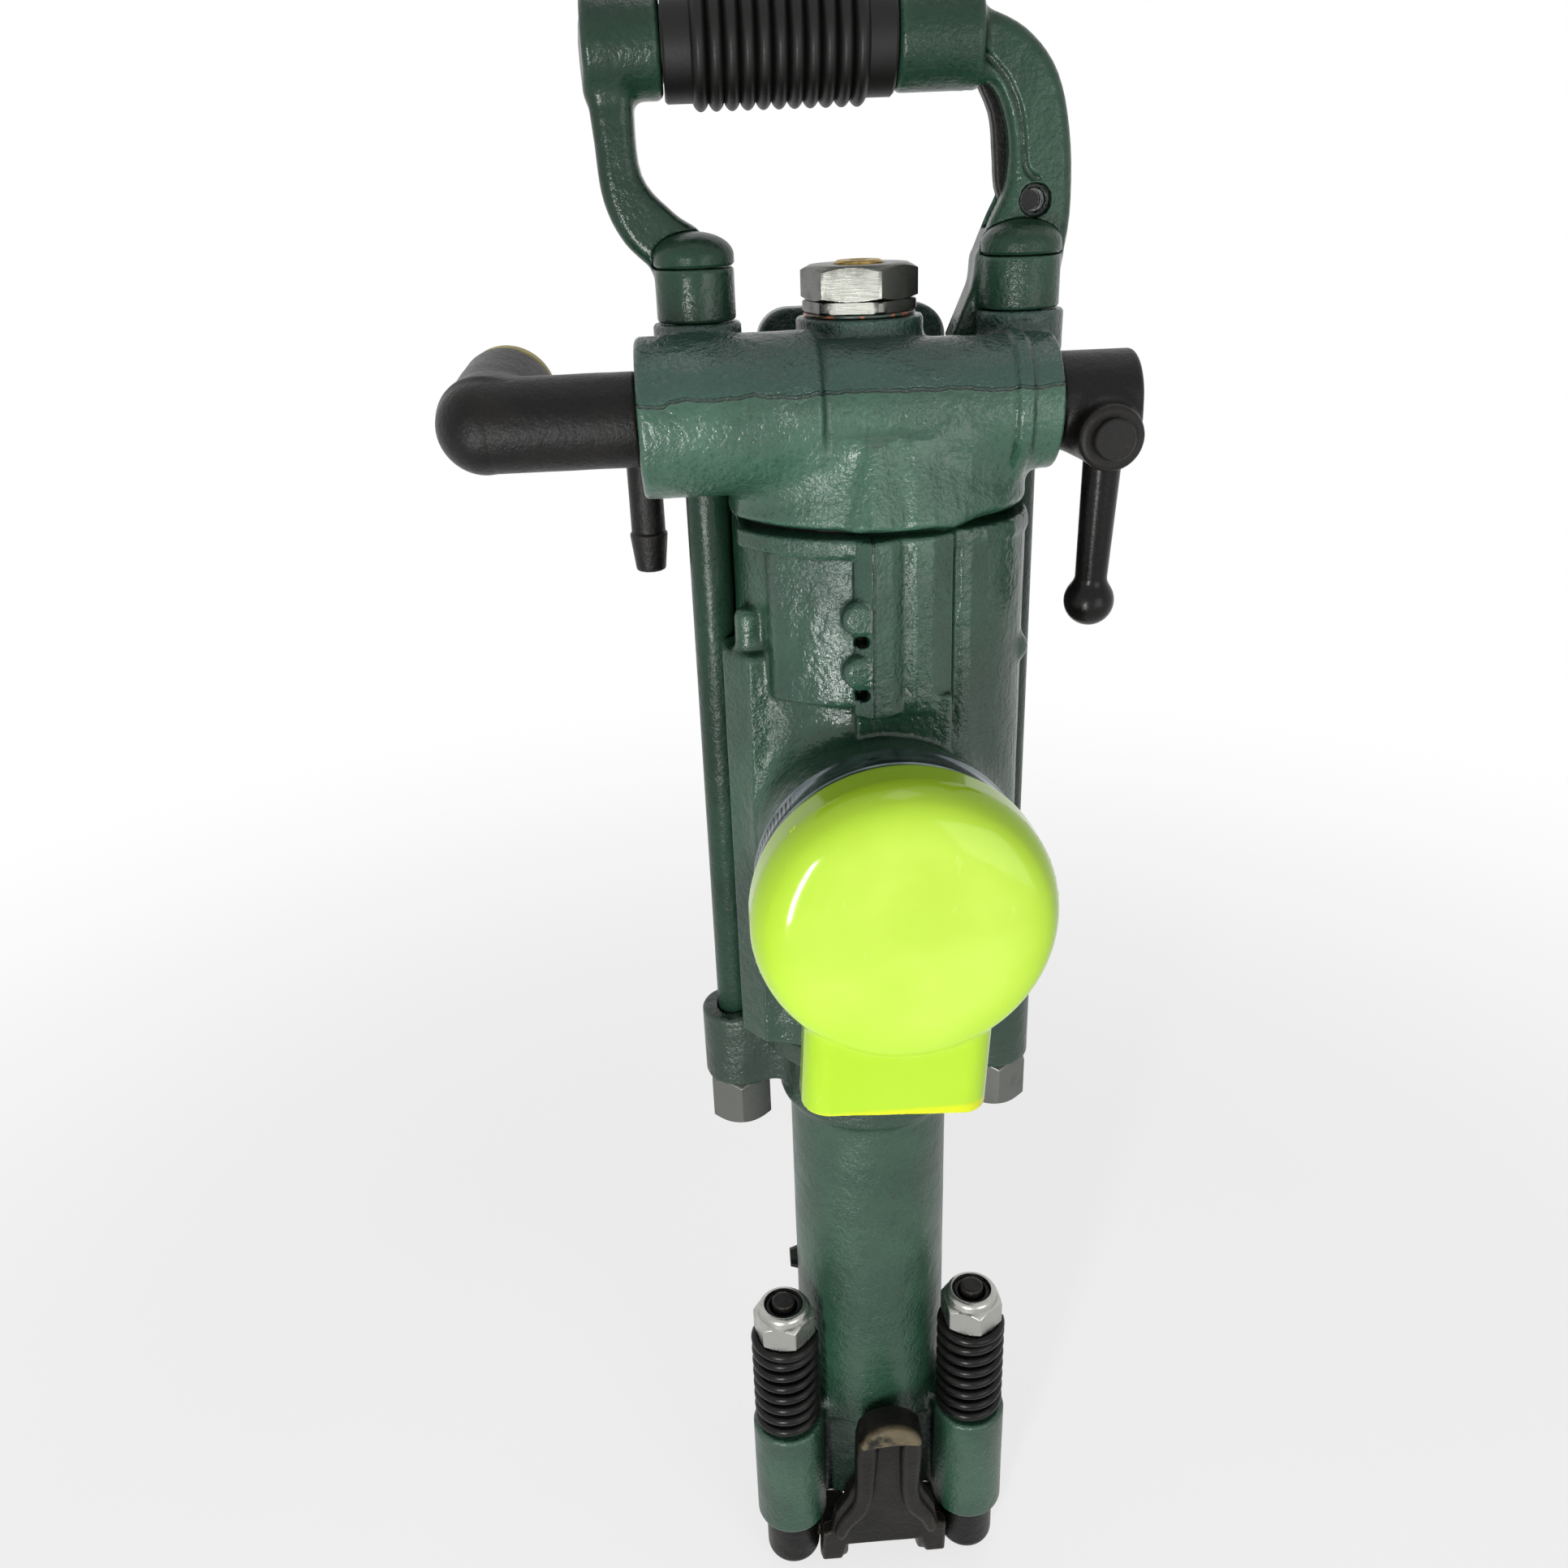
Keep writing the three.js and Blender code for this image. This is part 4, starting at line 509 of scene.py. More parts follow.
def blackIron(name="black_casting", light=(30, 28, 26), dark=(12, 11, 11), roughness=0.34, depth=0.3,
              edge=(62, 58, 52), worn=None):
    # light and dark blotches under a fine grain, with flecks; edge shows on edges as wear and a painted
    # highlight, corners get painted shade, and worn shows on a lip
    f = Finish(name, Specular_IOR_Level=0.2)
    bend = f.bend()
    grain = f.noise(1.2, 4.0, 0.65)
    tone = f.noise(20, 3.0).step(0.38, 0.66)
    colour = f.blend(tone * 0.5 + grain.step(0.48, 0.7) * 0.3, dark, light)
    flecks = f.noise(2.6, 5.0, 0.75).step(0.67, 0.73) * 0.5
    colour = f.blend(flecks, colour, ironLook["fleck"])
    # lighter on edges: wear, and also a painted highlight
    colour = f.blend(bend.step(0.05, 1.4) * 0.4, colour, edge)
    # darker in corners and creases: painted shade
    colour = f.blend(bend.step(-0.05, -0.5) * 0.7, colour, ironLook["corner"])
    if worn:
        x, y, z = f.parts()
        lip = z.step(0.0595, 0.0625) * y.step(-0.0495, -0.0515) * f.noise(7, 4.0).step(0.3, 0.55)
        colour = f.blend(lip * 0.85, colour, worn)
    rough = grain * 0.3 + (roughness - 0.14)
    height = grain + f.noise(4.5, 2.0) * 1.2
    return f.done(Base_Color=colour, Roughness=rough, Normal=f.bump(height, depth, 0.9))


def machinedSteel(name="machined_steel", colour=(100, 101, 96), roughness=0.34, stretch=(0.2, 0.2, 2.2),
                  depth=0.05):
    # fine lines, drawn out by stretch, under a darker stain
    f = Finish(name, metallic=1.0)
    lines = f.noise(1.0, 4.0, 0.6, f.stretched(*stretch))
    stain = f.noise(8, 4.0, 0.6).step(0.45, 0.75)
    shade = f.blend(stain * 0.25 + lines.step(0.5, 0.75) * 0.12, colour, [c * 0.62 for c in colour])
    rough = lines * 0.22 + stain * 0.14 + (roughness - 0.12)
    return f.done(Base_Color=shade, Roughness=rough, Normal=f.bump(lines, depth, 0.5))


# rim is a painted shade towards the pot's edge
limeLook = {"face": ((178, 210, 70), (188, 219, 84)), "rim": (160, 202, 18), "spoutTip": (212, 216, 20),
            "scuff": (222, 246, 150)}


def limePlastic():
    f = Finish("lime_plastic", Coat_Weight=0.1, Coat_Roughness=0.03, Specular_IOR_Level=0.2)
    # out is the share of the pot's radius, of about 50 mm, that a point lies from its axis
    out = f.away((0, 0, exhaust["z"] * mm), (20, 0, 20))
    colour = f.blend(f.noise(34, 3.0).step(0.3, 0.7), *limeLook["face"])
    # darker and greener from the middle out to the rim: painted shade
    colour = f.blend(out.step(0.55, 1.0) * 0.7, colour, limeLook["rim"])
    x, y, z = f.parts()
    colour = f.blend(z.step(0.2925, 0.2905) * 0.8, colour, limeLook["spoutTip"])
    scuffs = f.noise(5, 5.0, 0.7, f.stretched(1, 1, 0.3)).step(0.62, 0.72) * 0.12
    colour = f.blend(scuffs, colour, limeLook["scuff"])
    rough = f.noise(14, 3.0) * 0.14 + scuffs + 0.05
    return f.done(Base_Color=colour, Roughness=rough, Normal=f.bump(f.noise(18, 2.0), 0.2, 0.3))


def plainFinish(name, first, second, blotch, limits, grain, rough, depth, strength, **fixed):
    # blotches of a second colour between limits, and a fine grain that moves the roughness and the bump
    f = Finish(name, **fixed)
    fine, (low, high, share), (swing, least) = f.noise(*grain), limits, rough
    colour = f.blend(f.noise(*blotch).step(low, high) * share, first, second)
    return f.done(Base_Color=colour, Roughness=fine * swing + least, Normal=f.bump(fine, depth, strength))


def softMetal(name, light, dark):
    return plainFinish(name, light, dark, (4, 4.0, 0.6), (0.4, 0.7, 1), (0.9, 3.0), (0.2, 0.3), 0.08, 0.4,
                       metallic=1.0)


def paintedWasher():  # green paint, with bare copper where it has gone
    f = Finish("painted_washer", roughness=0.35)
    bare = f.noise(7, 3.0).step(0.52, 0.58)
    colour = f.blend(bare, (44, 62, 52), (186, 112, 84))
    return f.done(Base_Color=colour, Metallic=bare * 0.8, Normal=f.bump(f.noise(1.5, 3.0), 0.1, 0.5))


def crossSeamAndShade(f):
    # the parting line along the cross tube: a wavering height on its front, one step down near its left end;
    # above it a coarser region, which the paint gives a painted bluish sky tint, and painted shade towards
    # the back
    x, y, z = f.parts()
    wobble = f.noise(16, 3.0, 0.6, f.stretched(1, 0, 0)) * 0.006
    line = z - (wobble + 0.5085) - x.step(-0.066, -0.0635) * 0.0012 + x.step(0.0, 0.03) * 0.001
    near = line.size().step(0.00075, 0.00025)
    above = line.step(-0.0012, 0.0012) * z.step(0.540, 0.528)
    # the last share, from y 0 back, is painted shade
    return near * y.step(-0.040, -0.044), above, y.step(0, 0.02) * 0.4


def headPocketShade(f):
    # painted shade in the places between the tube and the two lugs, and the head's top painted darker as the
    # muffler's shadow
    x, y, z = f.parts()
    pocket = z.step(0.072, 0.046) * x.size().step(0.031, 0.026) * x.size().step(0.008, 0.014)
    # the pockets take painted shade, as a dark line colour and as shade, and the top takes painted shadow
    return pocket * 0.5, 0, pocket + z.step(0.20, 0.24)


def wrapSeamAndShade(f):
    # the rough upright line that runs down the ridge, a coarser region left of the ridge with a little
    # painted bluish tint, and the muffler's shadow as painted shade, darker towards the bottom
    x, y, z = f.parts()
    wobble = f.noise(9, 4.0, 0.7, f.stretched(0, 0, 1)) * 0.0024
    near = (x + 0.0042 - wobble).size().step(0.0006, 0.0002)
    left = x.step(0.004, -0.004) * y.step(-0.030, -0.040) * z.step(0.40, 0.412)
    # the last share is painted shadow below the muffler
    return near * y.step(-0.046, -0.050) * z.step(0.40, 0.412), left * 0.3, z.step(0.40, 0.29) * 0.7


def pinHoleShade(f):
    # painted shade, nearly black, in the hole of the trigger's pin
    away = f.away((trigger["x"] * mm, 0, trigger["z"] * mm), (1, 0, 1))
    return away.step(0.0056, 0.005) * 1.5, 0, 0


# the back head takes the lighter paint, a painted light
backPaint = hammeredPaint("green_paint_back_head", crossSeamAndShade, look=litBackLook)
cylinderPaint = hammeredPaint("green_paint_cylinder", wrapSeamAndShade)
headPaint = hammeredPaint("green_paint_front_head", headPocketShade, soft=0.1)
# the arms and the side bolts take the same paint darkened by dim, as painted shade, the left arm most
leftArmPaint = hammeredPaint("green_paint_left_arm", None, 0.45, 0.3, 0.3)
rightArmPaint = hammeredPaint("green_paint_right_arm", pinHoleShade, 0.25, 0.3, 0.4)
boltPaint = hammeredPaint("green_paint_bolts", None, 0.45, 0.26, 0.35, 0.08)
iron = blackIron()
retainerIron = blackIron("retainer_casting", (34, 31, 27), (16, 15, 13), 0.4, 0.35, (70, 64, 50),
                         (104, 94, 72))
gloss = blackIron("black_gloss", (22, 21, 20), (10, 9, 9), 0.24, 0.06)
springSteel = blackIron("spring_steel", (30, 29, 28), (12, 11, 11), 0.28, 0.06)
nylon = blackIron("nylon_ring", (24, 26, 32), (12, 13, 17), 0.3, 0.05)
steel = machinedSteel()
zinc = machinedSteel("zinc_plate", (174, 174, 169), 0.28, (1.0, 1.0, 1.0), 0.08)
# a darker copy of the zinc plate for the side nuts: painted shade
shadedZinc = machinedSteel("shaded_zinc_plate", (112, 114, 110), 0.38, (1.0, 1.0, 1.0), 0.1)
lime = limePlastic()
rubber = plainFinish("black_rubber", (11, 11, 10), (30, 29, 27), (11, 4.0, 0.6), (0.5, 0.78, 0.3),
                     (0.9, 4.0, 0.6), (0.22, 0.34), 0.1, 0.6, Specular_IOR_Level=0.3)
ochre = plainFinish("ochre_plastic", (150, 128, 14), (184, 168, 26), (8, 3.0), (0.35, 0.7, 1), (1.3, 3.0),
                    (0.2, 0.3), 0.1, 0.4)
bronze = softMetal("bronze", (190, 140, 84), (140, 96, 52))
brass = softMetal("brass", (178, 150, 92), (132, 108, 62))
washerPaint = paintedWasher()
print("finishes made")


def shares(points, width, height, x, z):  # an outline in shares of a width and a height, from a corner
    return [(x + a * width, z + b * height) for a, b in points]


# Front head: nose, tube, ears for the side bolts and lugs for the retainer bolts
frontHead = {"top": 264.0, "ears": 232.0, "nose": 29.5, "tube": 33.0, "tubeBase": 52.0, "fillet": 5.0,
             "cell": 1.34}


def frontHeadField(p):
    top, ears, tubeRadius = frontHead["top"], frontHead["ears"], frontHead["tube"]
    q = mirrored(p)
    tube = weld(post(p, frontHead["nose"], 0, 70, 1.5), post(p, tubeRadius, frontHead["tubeBase"], top), 4)
    ear = weld(rod(q, 2, boltPlace, 14, ears, top, 1.6),
               brick(q, (0, -13, ears + 1), (bolt["x"], 13, top), 2), 4)
    lugs = weld(rod(q, 2, lugPlace, 16, 0, lug["top"], 2.0),
                brick(q, (0, -23, 0), (lug["x"], -3, lug["top"]), 2.5), 6)
    head = joined(tube, (post(p, 37, 222, top, 3.0), 6), (ear, frontHead["fillet"]),
                  (post(p, 46, top - 10, top, 1.5), 3), (lugs, 7))
    head = head + 0.12 * waves(p, 26, 3)
    head = bored(p, head, (2, centre, 19, -5, 13, 0.5), (2, centre, 24.6, 12, 52),
                 (2, centre, 28, 50.3, top + 5), (0, (8, 117), 6.3, -40, -30, 0.4))
    return bored(q, head, (2, boltPlace, bolt["hole"], ears - 5, top + 5, 0.5),
                 (2, lugPlace, bolt["hole"], -5, 64, 0.5))


castPiece("front_head_casting", frontHeadField, (-69, -46, 0), (69, 47, 264), frontHead["cell"], headPaint,
          ["front_head"])


# Cylinder: barrel, the wrap with its ridge, the shoulder, the left rib and the exhaust boss
cylinder = {"base": 264.3, "top": 468.0, "wrapBase": 409.3, "collarBase": 461.5, "bumps": (442.4, 423.9),
            "radius": 46.0, "cell": 1.37}
shoulderOutline = smoothOutline([(0, 0), (0, -29.9), (24, -45.0), (36, -42.2), (46, -35), (53, -24),
                                 (55.4, -8), (53, -2), (30, 2)], 4)
brimOutline = [(10, -20), (23, -46), (36, -43.4), (46.8, -35.8), (53.9, -24.4), (56.3, -8), (40, -4)]
# the wrap's front edge seen from above: a sharp ridge, a valley, then a low flat
ridgeOutline = [(-9.4, -46), (-9, -51), (-7.6, -53), (-3.2, -57), (3.4, -54.4), (7.6, -51), (10.8, -52.5),
                (17.4, -51.2), (24.4, -46.6), (24, -42), (-9, -42)]
ribOutline = [(0, 0), (-52, -7.5), (-52, -22.1), (-43.7, -32.2), (0, -29.9)]


def cylinderField(p):
    base, top, wrapBase, collarBase = [cylinder[key] for key in ("base", "top", "wrapBase", "collarBase")]
    shoulder = np.maximum(slab(p, 2, shoulderOutline, base, top + 10, 6.0), p[2] - top)
    wrap = within(post(p, 51.5, wrapBase, top, 2.6), brick(p, (-36, -60, wrapBase), (25, -20, top), 2), 3)
    collar = within(post(p, 52.6, collarBase, top, 1.2), brick(p, (-45, -60, collarBase), (-3, 0, top), 1), 1)
    body = joined(post(p, cylinder["radius"], base, top), (shoulder, 6),
                  (slab(p, 2, ribOutline, base, base + 160, 3.0), 5),
                  (rod(p, 2, (-42.5, -22), 4.8, base + 158, base + 175, 3.8), 2.5),
                  (rod(p, 1, (0, exhaust["z"]), 42, -84, 0, 1.5), 8), (wrap, 2.2), (collar, 1.2))
    body = np.minimum(body, slab(p, 2, ridgeOutline, wrapBase - 1.5, top - 0.4, 1.3))
    body = joined(body, (slab(p, 2, brimOutline, collarBase + 0.5, top, 2.0), 1.5),
                  (brick(p, (-8.5, -51.2, 386), (24, -20, wrapBase + 4), 1.2), 1.5))
    for height in cylinder["bumps"]:
        body = weld(body, rod(p, 1, (-6.8, height), 6.2, -56.4, -40, 3.0), 0.8)
    body = joined(body, (ball(p, (50.6, -23, 420), 5.2), 2), (brick(p, (-56, 5, base), (-36, 15, top), 2), 3))
    body = body + 0.14 * waves(p, 24, 5)
    for height in cylinder["bumps"]:
        body = carve(body, stick(p, (-6.4, -60, height - 6.6), (-6.4, -44, height - 10), 2.1), 0.4)
    body = bored(p, body, (2, centre, 40, base - 5, 437), (2, centre, 42, 430, top + 5),
                 (1, (0, exhaust["z"]), 30, -90, 0, 0.4))
    return bored(mirrored(p), body, (2, boltPlace, bolt["hole"], base - 5, top + 5, 0.5))


castPiece("cylinder_casting", cylinderField, (-57, -85, 264.3), (60, 47, 468), cylinder["cell"],
          cylinderPaint, ["cylinder"])


# Back head: neck, core, cross tube, bolt pads, and the boss that an air leg fits
backHead = {"neckTop": 495.1, "coreTop": 521.1, "padBase": 517.1, "sleeve": 25.3, "tube": 21.4, "lean": 0.2,
            "cell": 1.1}
nozzlePlace, legPlace = (20, 495), (3, cross["z"])


def backHeadField(p):
    base, top, neckTop, coreTop = back["base"], back["top"], backHead["neckTop"], backHead["coreTop"]
    q = mirrored(p)
    body = weld(post(p, cylinder["radius"], base, neckTop, 1.6), post(p, 36, neckTop - 4, coreTop, 2.5), 6)
    lean = np.maximum(p[2] - base, 0) * backHead["lean"]  # the neck's front draws in towards the cross tube
    brim = within(post(p, 50.6, base, 502, 1.6), brick(p, (-45, -60, base), (25, 0, 502), 1), 2)
    tube = joined(rod(p, 0, crossPlace, backHead["sleeve"], cross["left"], -17, 2.0),
                  (rod(p, 0, crossPlace, backHead["tube"], -20, cross["right"], 1.5), 3),
                  (rod(p, 0, crossPlace, 22.9, 44.5, 49.5, 1.4), 1.2))
    leg = weld(rod(p, 1, legPlace, 25, 0, 55), plate(p, 1, legPlace, (35, 26), 12, 48, 59, 1.6), 5)
    pad = weld(rod(q, 2, boltPlace, 14.6, backHead["padBase"], top, 1.4),
               brick(q, (0, -10.2, 503.1), (bolt["x"], 10.2, coreTop), 3), 5)
    body = joined(body, (brim + lean, 6), (slab(p, 2, ridgeOutline, base, 502, 2.0) + lean * 1.1 + 1.0, 6),
                  (slab(p, 2, shoulderOutline, base, 500, 5.0) + lean * 0.6, 8), (tube, 7),
                  (brick(p, (-54, 5, base), (-30, 15, 500), 2), 3), (post(p, 21.2, 517, top, 1.2), 3),
                  (leg, 6), (rod(p, 0, nozzlePlace, 10, -46, 0, 1.2), 3), (pad, 5))
    body = body + 0.14 * waves(p, 22, 9)
    body = bored(p, body, (0, crossPlace, 12.6, cross["left"] - 5, cross["right"] + 5),
                 (0, crossPlace, 14.4, cross["left"] - 5, -48.9), (2, centre, 13.8, 502.5, top + 5),
                 (2, centre, 4.6, base - 5, top), (2, centre, 24, base - 5, base + 4),
                 (1, legPlace, 17, 33, 65, 0.4), (0, nozzlePlace, 6.5, -52, -33.7))
    return bored(q, body, (2, boltPlace, bolt["hole"], base - 5, top + 5, 0.5))


castPiece("back_head_casting", backHeadField, (-74.5, -59, 470), (69.5, 59, 531.1), backHead["cell"],
          backPaint, ["back_head"])


# Handle arms, whose outlines are shares of their reach and of the grip's height
arms = {"socket": 16.0, "thick": 10.0, "barHole": 11.3, "cell": 0.85}
leftArm = [(0.98, 1.06), (0.957, 0.657), (0.905, 0.449), (0.72, 0.3), (0.393, 0.179), (0.2, 0.08),
           (-0.2, 0.08),
           (-0.2, 0.228), (-0.085, 0.332), (0.18, 0.404), (0.498, 0.547), (0.531, 0.798), (0.525, 1.06)]
rightArm = [(-1.25, 1.09), (-0.9, 1.09), (0, 1.01), (0.68, 0.853), (1, 0.596), (1.02, 0.28), (0.625, 0.08),
            (-0.5, 0.08), (-0.844, 0.179), (-0.59, 0.33), (-0.35, 0.43), (-0.27, 0.52), (-0.28, 0.63),
            (-0.42, 0.74), (-0.68, 0.82), (-1.25, 0.86)]
armCrease = [(38.2, 608.5), (45.5, 603.0), (50.8, 595.1), (53.4, 585.1), (53.8, 576.0), (55.6, 571.4),
             (59.4, 570.4)]
triggerOutline = [(-0.12, -0.105), (-0.014, -0.13), (0.09, -0.112), (0.135, 0), (0.102, 0.14), (0.009, 0.326),
                  (-0.084, 0.674), (-0.247, 0.93), (-0.398, 1), (-0.444, 0.884), (-0.316, 0.605),
                  (-0.281, 0.326), (-0.258, 0.093), (-0.188, -0.058)]
slotOutline = [(-0.526, 0.767), (-0.526, 0.953), (-0.386, 1.116), (-0.153, 1.081), (0.012, 0.791),
               (0.105, 0.442), (0.214, 0.14), (0.214, -0.163), (0.033, -0.233), (-0.293, -0.233),
               (-0.433, -0.07)]
sideBolt = {"tip": 209.7, "seam": 548.3, "dome": 13.2, "band": 3.0, "height": 10.5}


def domeRoom(p, side):
    # the bolt's head, a little larger: a band, and over it half an ellipsoid, as a ball pressed flatter
    seam, band, wide, tall = sideBolt["seam"], sideBolt["band"], sideBolt["dome"] + 0.15, 7.65
    over = span(p[0] - side * bolt["x"], p[1], (p[2] - seam - band) * wide / tall) - wide
    skirt = rod(p, 2, (side * bolt["x"], 0), wide, seam - 0.3, seam + band, 0.2)
    return np.minimum(skirt, np.maximum(over, seam + band - p[2]))


def armField(p, side, outline, reach, socketStart, socketEnd):
    foot, seam, place = handle["foot"], sideBolt["seam"], (side * bolt["x"], 0)
    edge = smoothOutline(shares(outline, side * reach, handle["rise"], side * bolt["x"], foot))
    arm = joined(slab(p, 1, edge, handle["y"] - arms["thick"], handle["y"] + arms["thick"], 4.5),
                 (rod(p, 2, place, 13, foot, foot + 16.6, 1.2), 4),
                 (rod(p, 0, handlePlace, arms["socket"], socketStart, socketEnd, 2.5), 4))
    arm = arm + 0.1 * waves(p, 18, 11)
    return carve(bored(p, arm, (2, place, bolt["hole"], foot - 5, seam + 2)), domeRoom(p, side), 0.4)


def leftArmField(p):
    return bored(p, armField(p, -1, leftArm, 30.5, -84.5, -60.3),
                 (0, handlePlace, arms["barHole"], -80.3, -50))


def creaseTrack(steps=30):
    # the crease's points, evened out: each is the mean of seven neighbours on the line through them
    places = np.linspace(0, len(armCrease) - 1, steps + 1)
    runs = [np.interp(places, range(len(armCrease)), part) for part in zip(*armCrease)]
    x, z = [np.convolve(np.pad(run, 3, "edge"), np.ones(7) / 7, "valid") for run in runs]
    return [(a, 0, b) for a, b in zip(x, z)]


def rightArmField(p):
    arm = armField(p, 1, rightArm, 16, 12.9, 40)
    gusset = [(45, 549), (41.2, 547), (38.5, 538), (31.5, 521.6), (46, 521.6)]
    arm = weld(arm, slab(p, 1, gusset, 2, 17, 2.0), 4)
    crease, track = 1e9, creaseTrack()
    for start, end in zip(track, track[1:]):
        crease = np.minimum(crease, stick(p, start, end, 1.0))
    arm = carve(arm, crease, 1.2)
    slot = shares(slotOutline, trigger["height"], trigger["height"], *triggerPlace)
    arm = carve(arm, slab(p, 1, slot, trigger["y"] - 3.4, trigger["y"] + 3.4, 0.3), 0.4)
    return bored(p, arm, (1, triggerPlace, trigger["pin"], -15, 35), (1, triggerPlace, 5.0, -15, 2.4),
                 (0, (trigger["y"], 585), 3.4, 56.3, 67.3), (0, handlePlace, arms["barHole"], 5, 30.3))


castPiece("handle_left_arm_casting", leftArmField, (-85, -14, 531.4), (-40, 27, 630), arms["cell"],
          leftArmPaint, ["handle_left_arm"])
castPiece("handle_right_arm_casting", rightArmField, (12, -14, 521), (71, 27, 630), arms["cell"],
          rightArmPaint, ["handle_right_arm"])


def triggerField(p):
    shape = smoothOutline(shares(triggerOutline, trigger["height"], trigger["height"], *triggerPlace), 4)
    blade = slab(p, 1, shape, trigger["y"] - 3, trigger["y"] + 3, 1.2)
    return bored(p, blade, (1, triggerPlace, trigger["pin"], 0, 25, 0.4))


castPiece("trigger_plate", triggerField, (37, 8, 558), (63, 16, 608), trigger["cell"], iron, ["trigger"],
          "trigger")
print("castings made")


# Side bolts with their round heads, and the nuts at their lower ends
sideThread = {"ridges": 24, "pitch": 0.9, "depth": 0.35}
for word, side in bothSides:
    tip, seam, dome, band, height = [sideBolt[key] for key in ("tip", "seam", "dome", "band", "height")]
    cap = [(dome * math.cos(a), seam + band + (height - band) * math.sin(a))
           for a in np.linspace(0, math.pi / 2 * 0.995, 20)]
    radius = bolt["radius"]
    profile = [(6.3, tip), (radius, 211)]
    profile += [(radius - sideThread["depth"] * (i % 2), 211.5 + sideThread["pitch"] * i)
                for i in range(sideThread["ridges"])]
    profile += [(radius, 234), (radius, seam), (12.4, seam), (dome, seam + 0.8)] + cap
    turnedPiece("side_bolt_" + word + "_round", profile, 2, (side * bolt["x"], 0), boltPaint,
                ["side_bolt_" + word])


def chamfer(flats, start, end, steps=9):
    # the cone that eases a hexagon's corners: rings from just past its corners in to its flats
    corner = flats / 2 / math.cos(math.pi / 6) + 0.3
    return list(zip(np.linspace(corner, flats / 2 - 0.3, steps), np.linspace(start, end, steps)))


def nutProfile(flats, base, height, bore, ease=2.0):
    # a nut's half section, from its lower face out and up to its top face, and down its bore
    top = base + height
    outside = [(r, 2 * base + ease - z) for r, z in chamfer(flats, base, base + ease)[::-1]]
    return ([(bore + 0.8, base)] + outside + chamfer(flats, top - ease, top)
            + [(bore + 0.8, top), (bore, top - 0.8), (bore, base + 0.8)])


for word, side in bothSides:
    turnedPiece("side_nut_" + word + "_hex", nutProfile(24, 211.7, 20, bolt["hole"]), 2,
                (side * bolt["x"], 0), shadedZinc, ["side_nut_" + word], sides=144, flats=24, hollow=True)


# Retainer bolts: round eyes under the lugs, shanks through the springs, and lock nuts on top
retainerBolt = {"tip": 128.6, "eye": 12.3, "eyeDepth": 27.0, "trunnion": -15.0, "cell": 0.9}


def retainerBoltField(side):
    place = (side * lug["x"], lug["y"])

    def field(p):
        eye = rod(p, 2, place, retainerBolt["eye"], -retainerBolt["eyeDepth"], -0.3, 5.0)
        eye = within(eye, rod(p, 2, place, 13, -40, -0.3, 0.6), 0.3)
        solid = joined(eye, (rod(p, 2, place, bolt["radius"], -4, 121.5, 0.8), 1.5),
                       (rod(p, 2, place, 5, 120, retainerBolt["tip"], 0.6), 0.5))
        return bored(p, solid, (0, (place[1], retainerBolt["trunnion"]), 5.3, *sorted((0, side * 37.7)), 0.5))
    return field


lockNut = {"base": 110.6, "hexTop": 123.1, "top": 126.6, "flats": 24.0, "collar": 11.0}
for (word, side), turn in zip(bothSides, (math.radians(16), math.radians(6))):
    x, y = side * lug["x"], lug["y"]
    castPiece("retainer_bolt_" + word + "_eye", retainerBoltField(side), (x - 13, y - 13, -27),
              (x + 13, y + 13, 129), retainerBolt["cell"], iron, ["retainer_bolt_" + word], "retainer_bolts")
    base, hexTop, top, collar, flats = [lockNut[key] for key in ("base", "hexTop", "top", "collar", "flats")]
    profile = [(8.8, base)] + [(r, 2 * base + 1.8 - z) for r, z in chamfer(flats, base, base + 1.8)[::-1]]
    profile += chamfer(flats, hexTop - 2.6, hexTop - 0.2)[:-2] + [(collar + 0.25, hexTop - 0.3)]
    profile += arc((collar - 2.4, top - 2.4), 2.4, 0, 90, 9)
    profile += [(8.5, top - 0.3), (8.2, top - 1.2), (8.0, base + 0.8)]
    turnedPiece("retainer_nut_" + word + "_hex", profile, 2, (x, y), zinc, ["retainer_nut_" + word],
                "retainer_bolts", sides=144, flats=flats, turn=turn, hollow=True)
    turnedPiece("retainer_nut_" + word + "_insert", arc((6.9, top - 2.3), 1.35, 0, 360, 17)[:-1], 2, (x, y),
                nylon, (), "retainer_bolts", sides=64, hollow=True)


# Springs: a round wire that winds up round its bolt, flat over its first and last half turn
spring = {"radius": 12.8, "wire": 2.2, "length": 51.0, "turns": 8, "base": 59.3, "flat": 0.5}
for word, side in bothSides:
    turn = np.linspace(0, spring["turns"], spring["turns"] * 40 + 1)
    climb = np.clip((turn - spring["flat"]) / (spring["turns"] - 2 * spring["flat"]), 0, 1)
    height = spring["base"] + spring["wire"] + (spring["length"] - 2 * spring["wire"]) * climb
    angle = 2 * math.pi * turn
    x, y = side * lug["x"], lug["y"]
    path = np.stack([x + spring["radius"] * np.cos(angle), y + spring["radius"] * np.sin(angle), height], 1)
    coil = tubePiece("retainer_spring_" + word + "_coil", path, (x, y), spring["wire"], springSteel,
                     ["retainer_spring_" + word], "retainer_bolts")
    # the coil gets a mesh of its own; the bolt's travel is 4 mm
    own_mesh(coil)


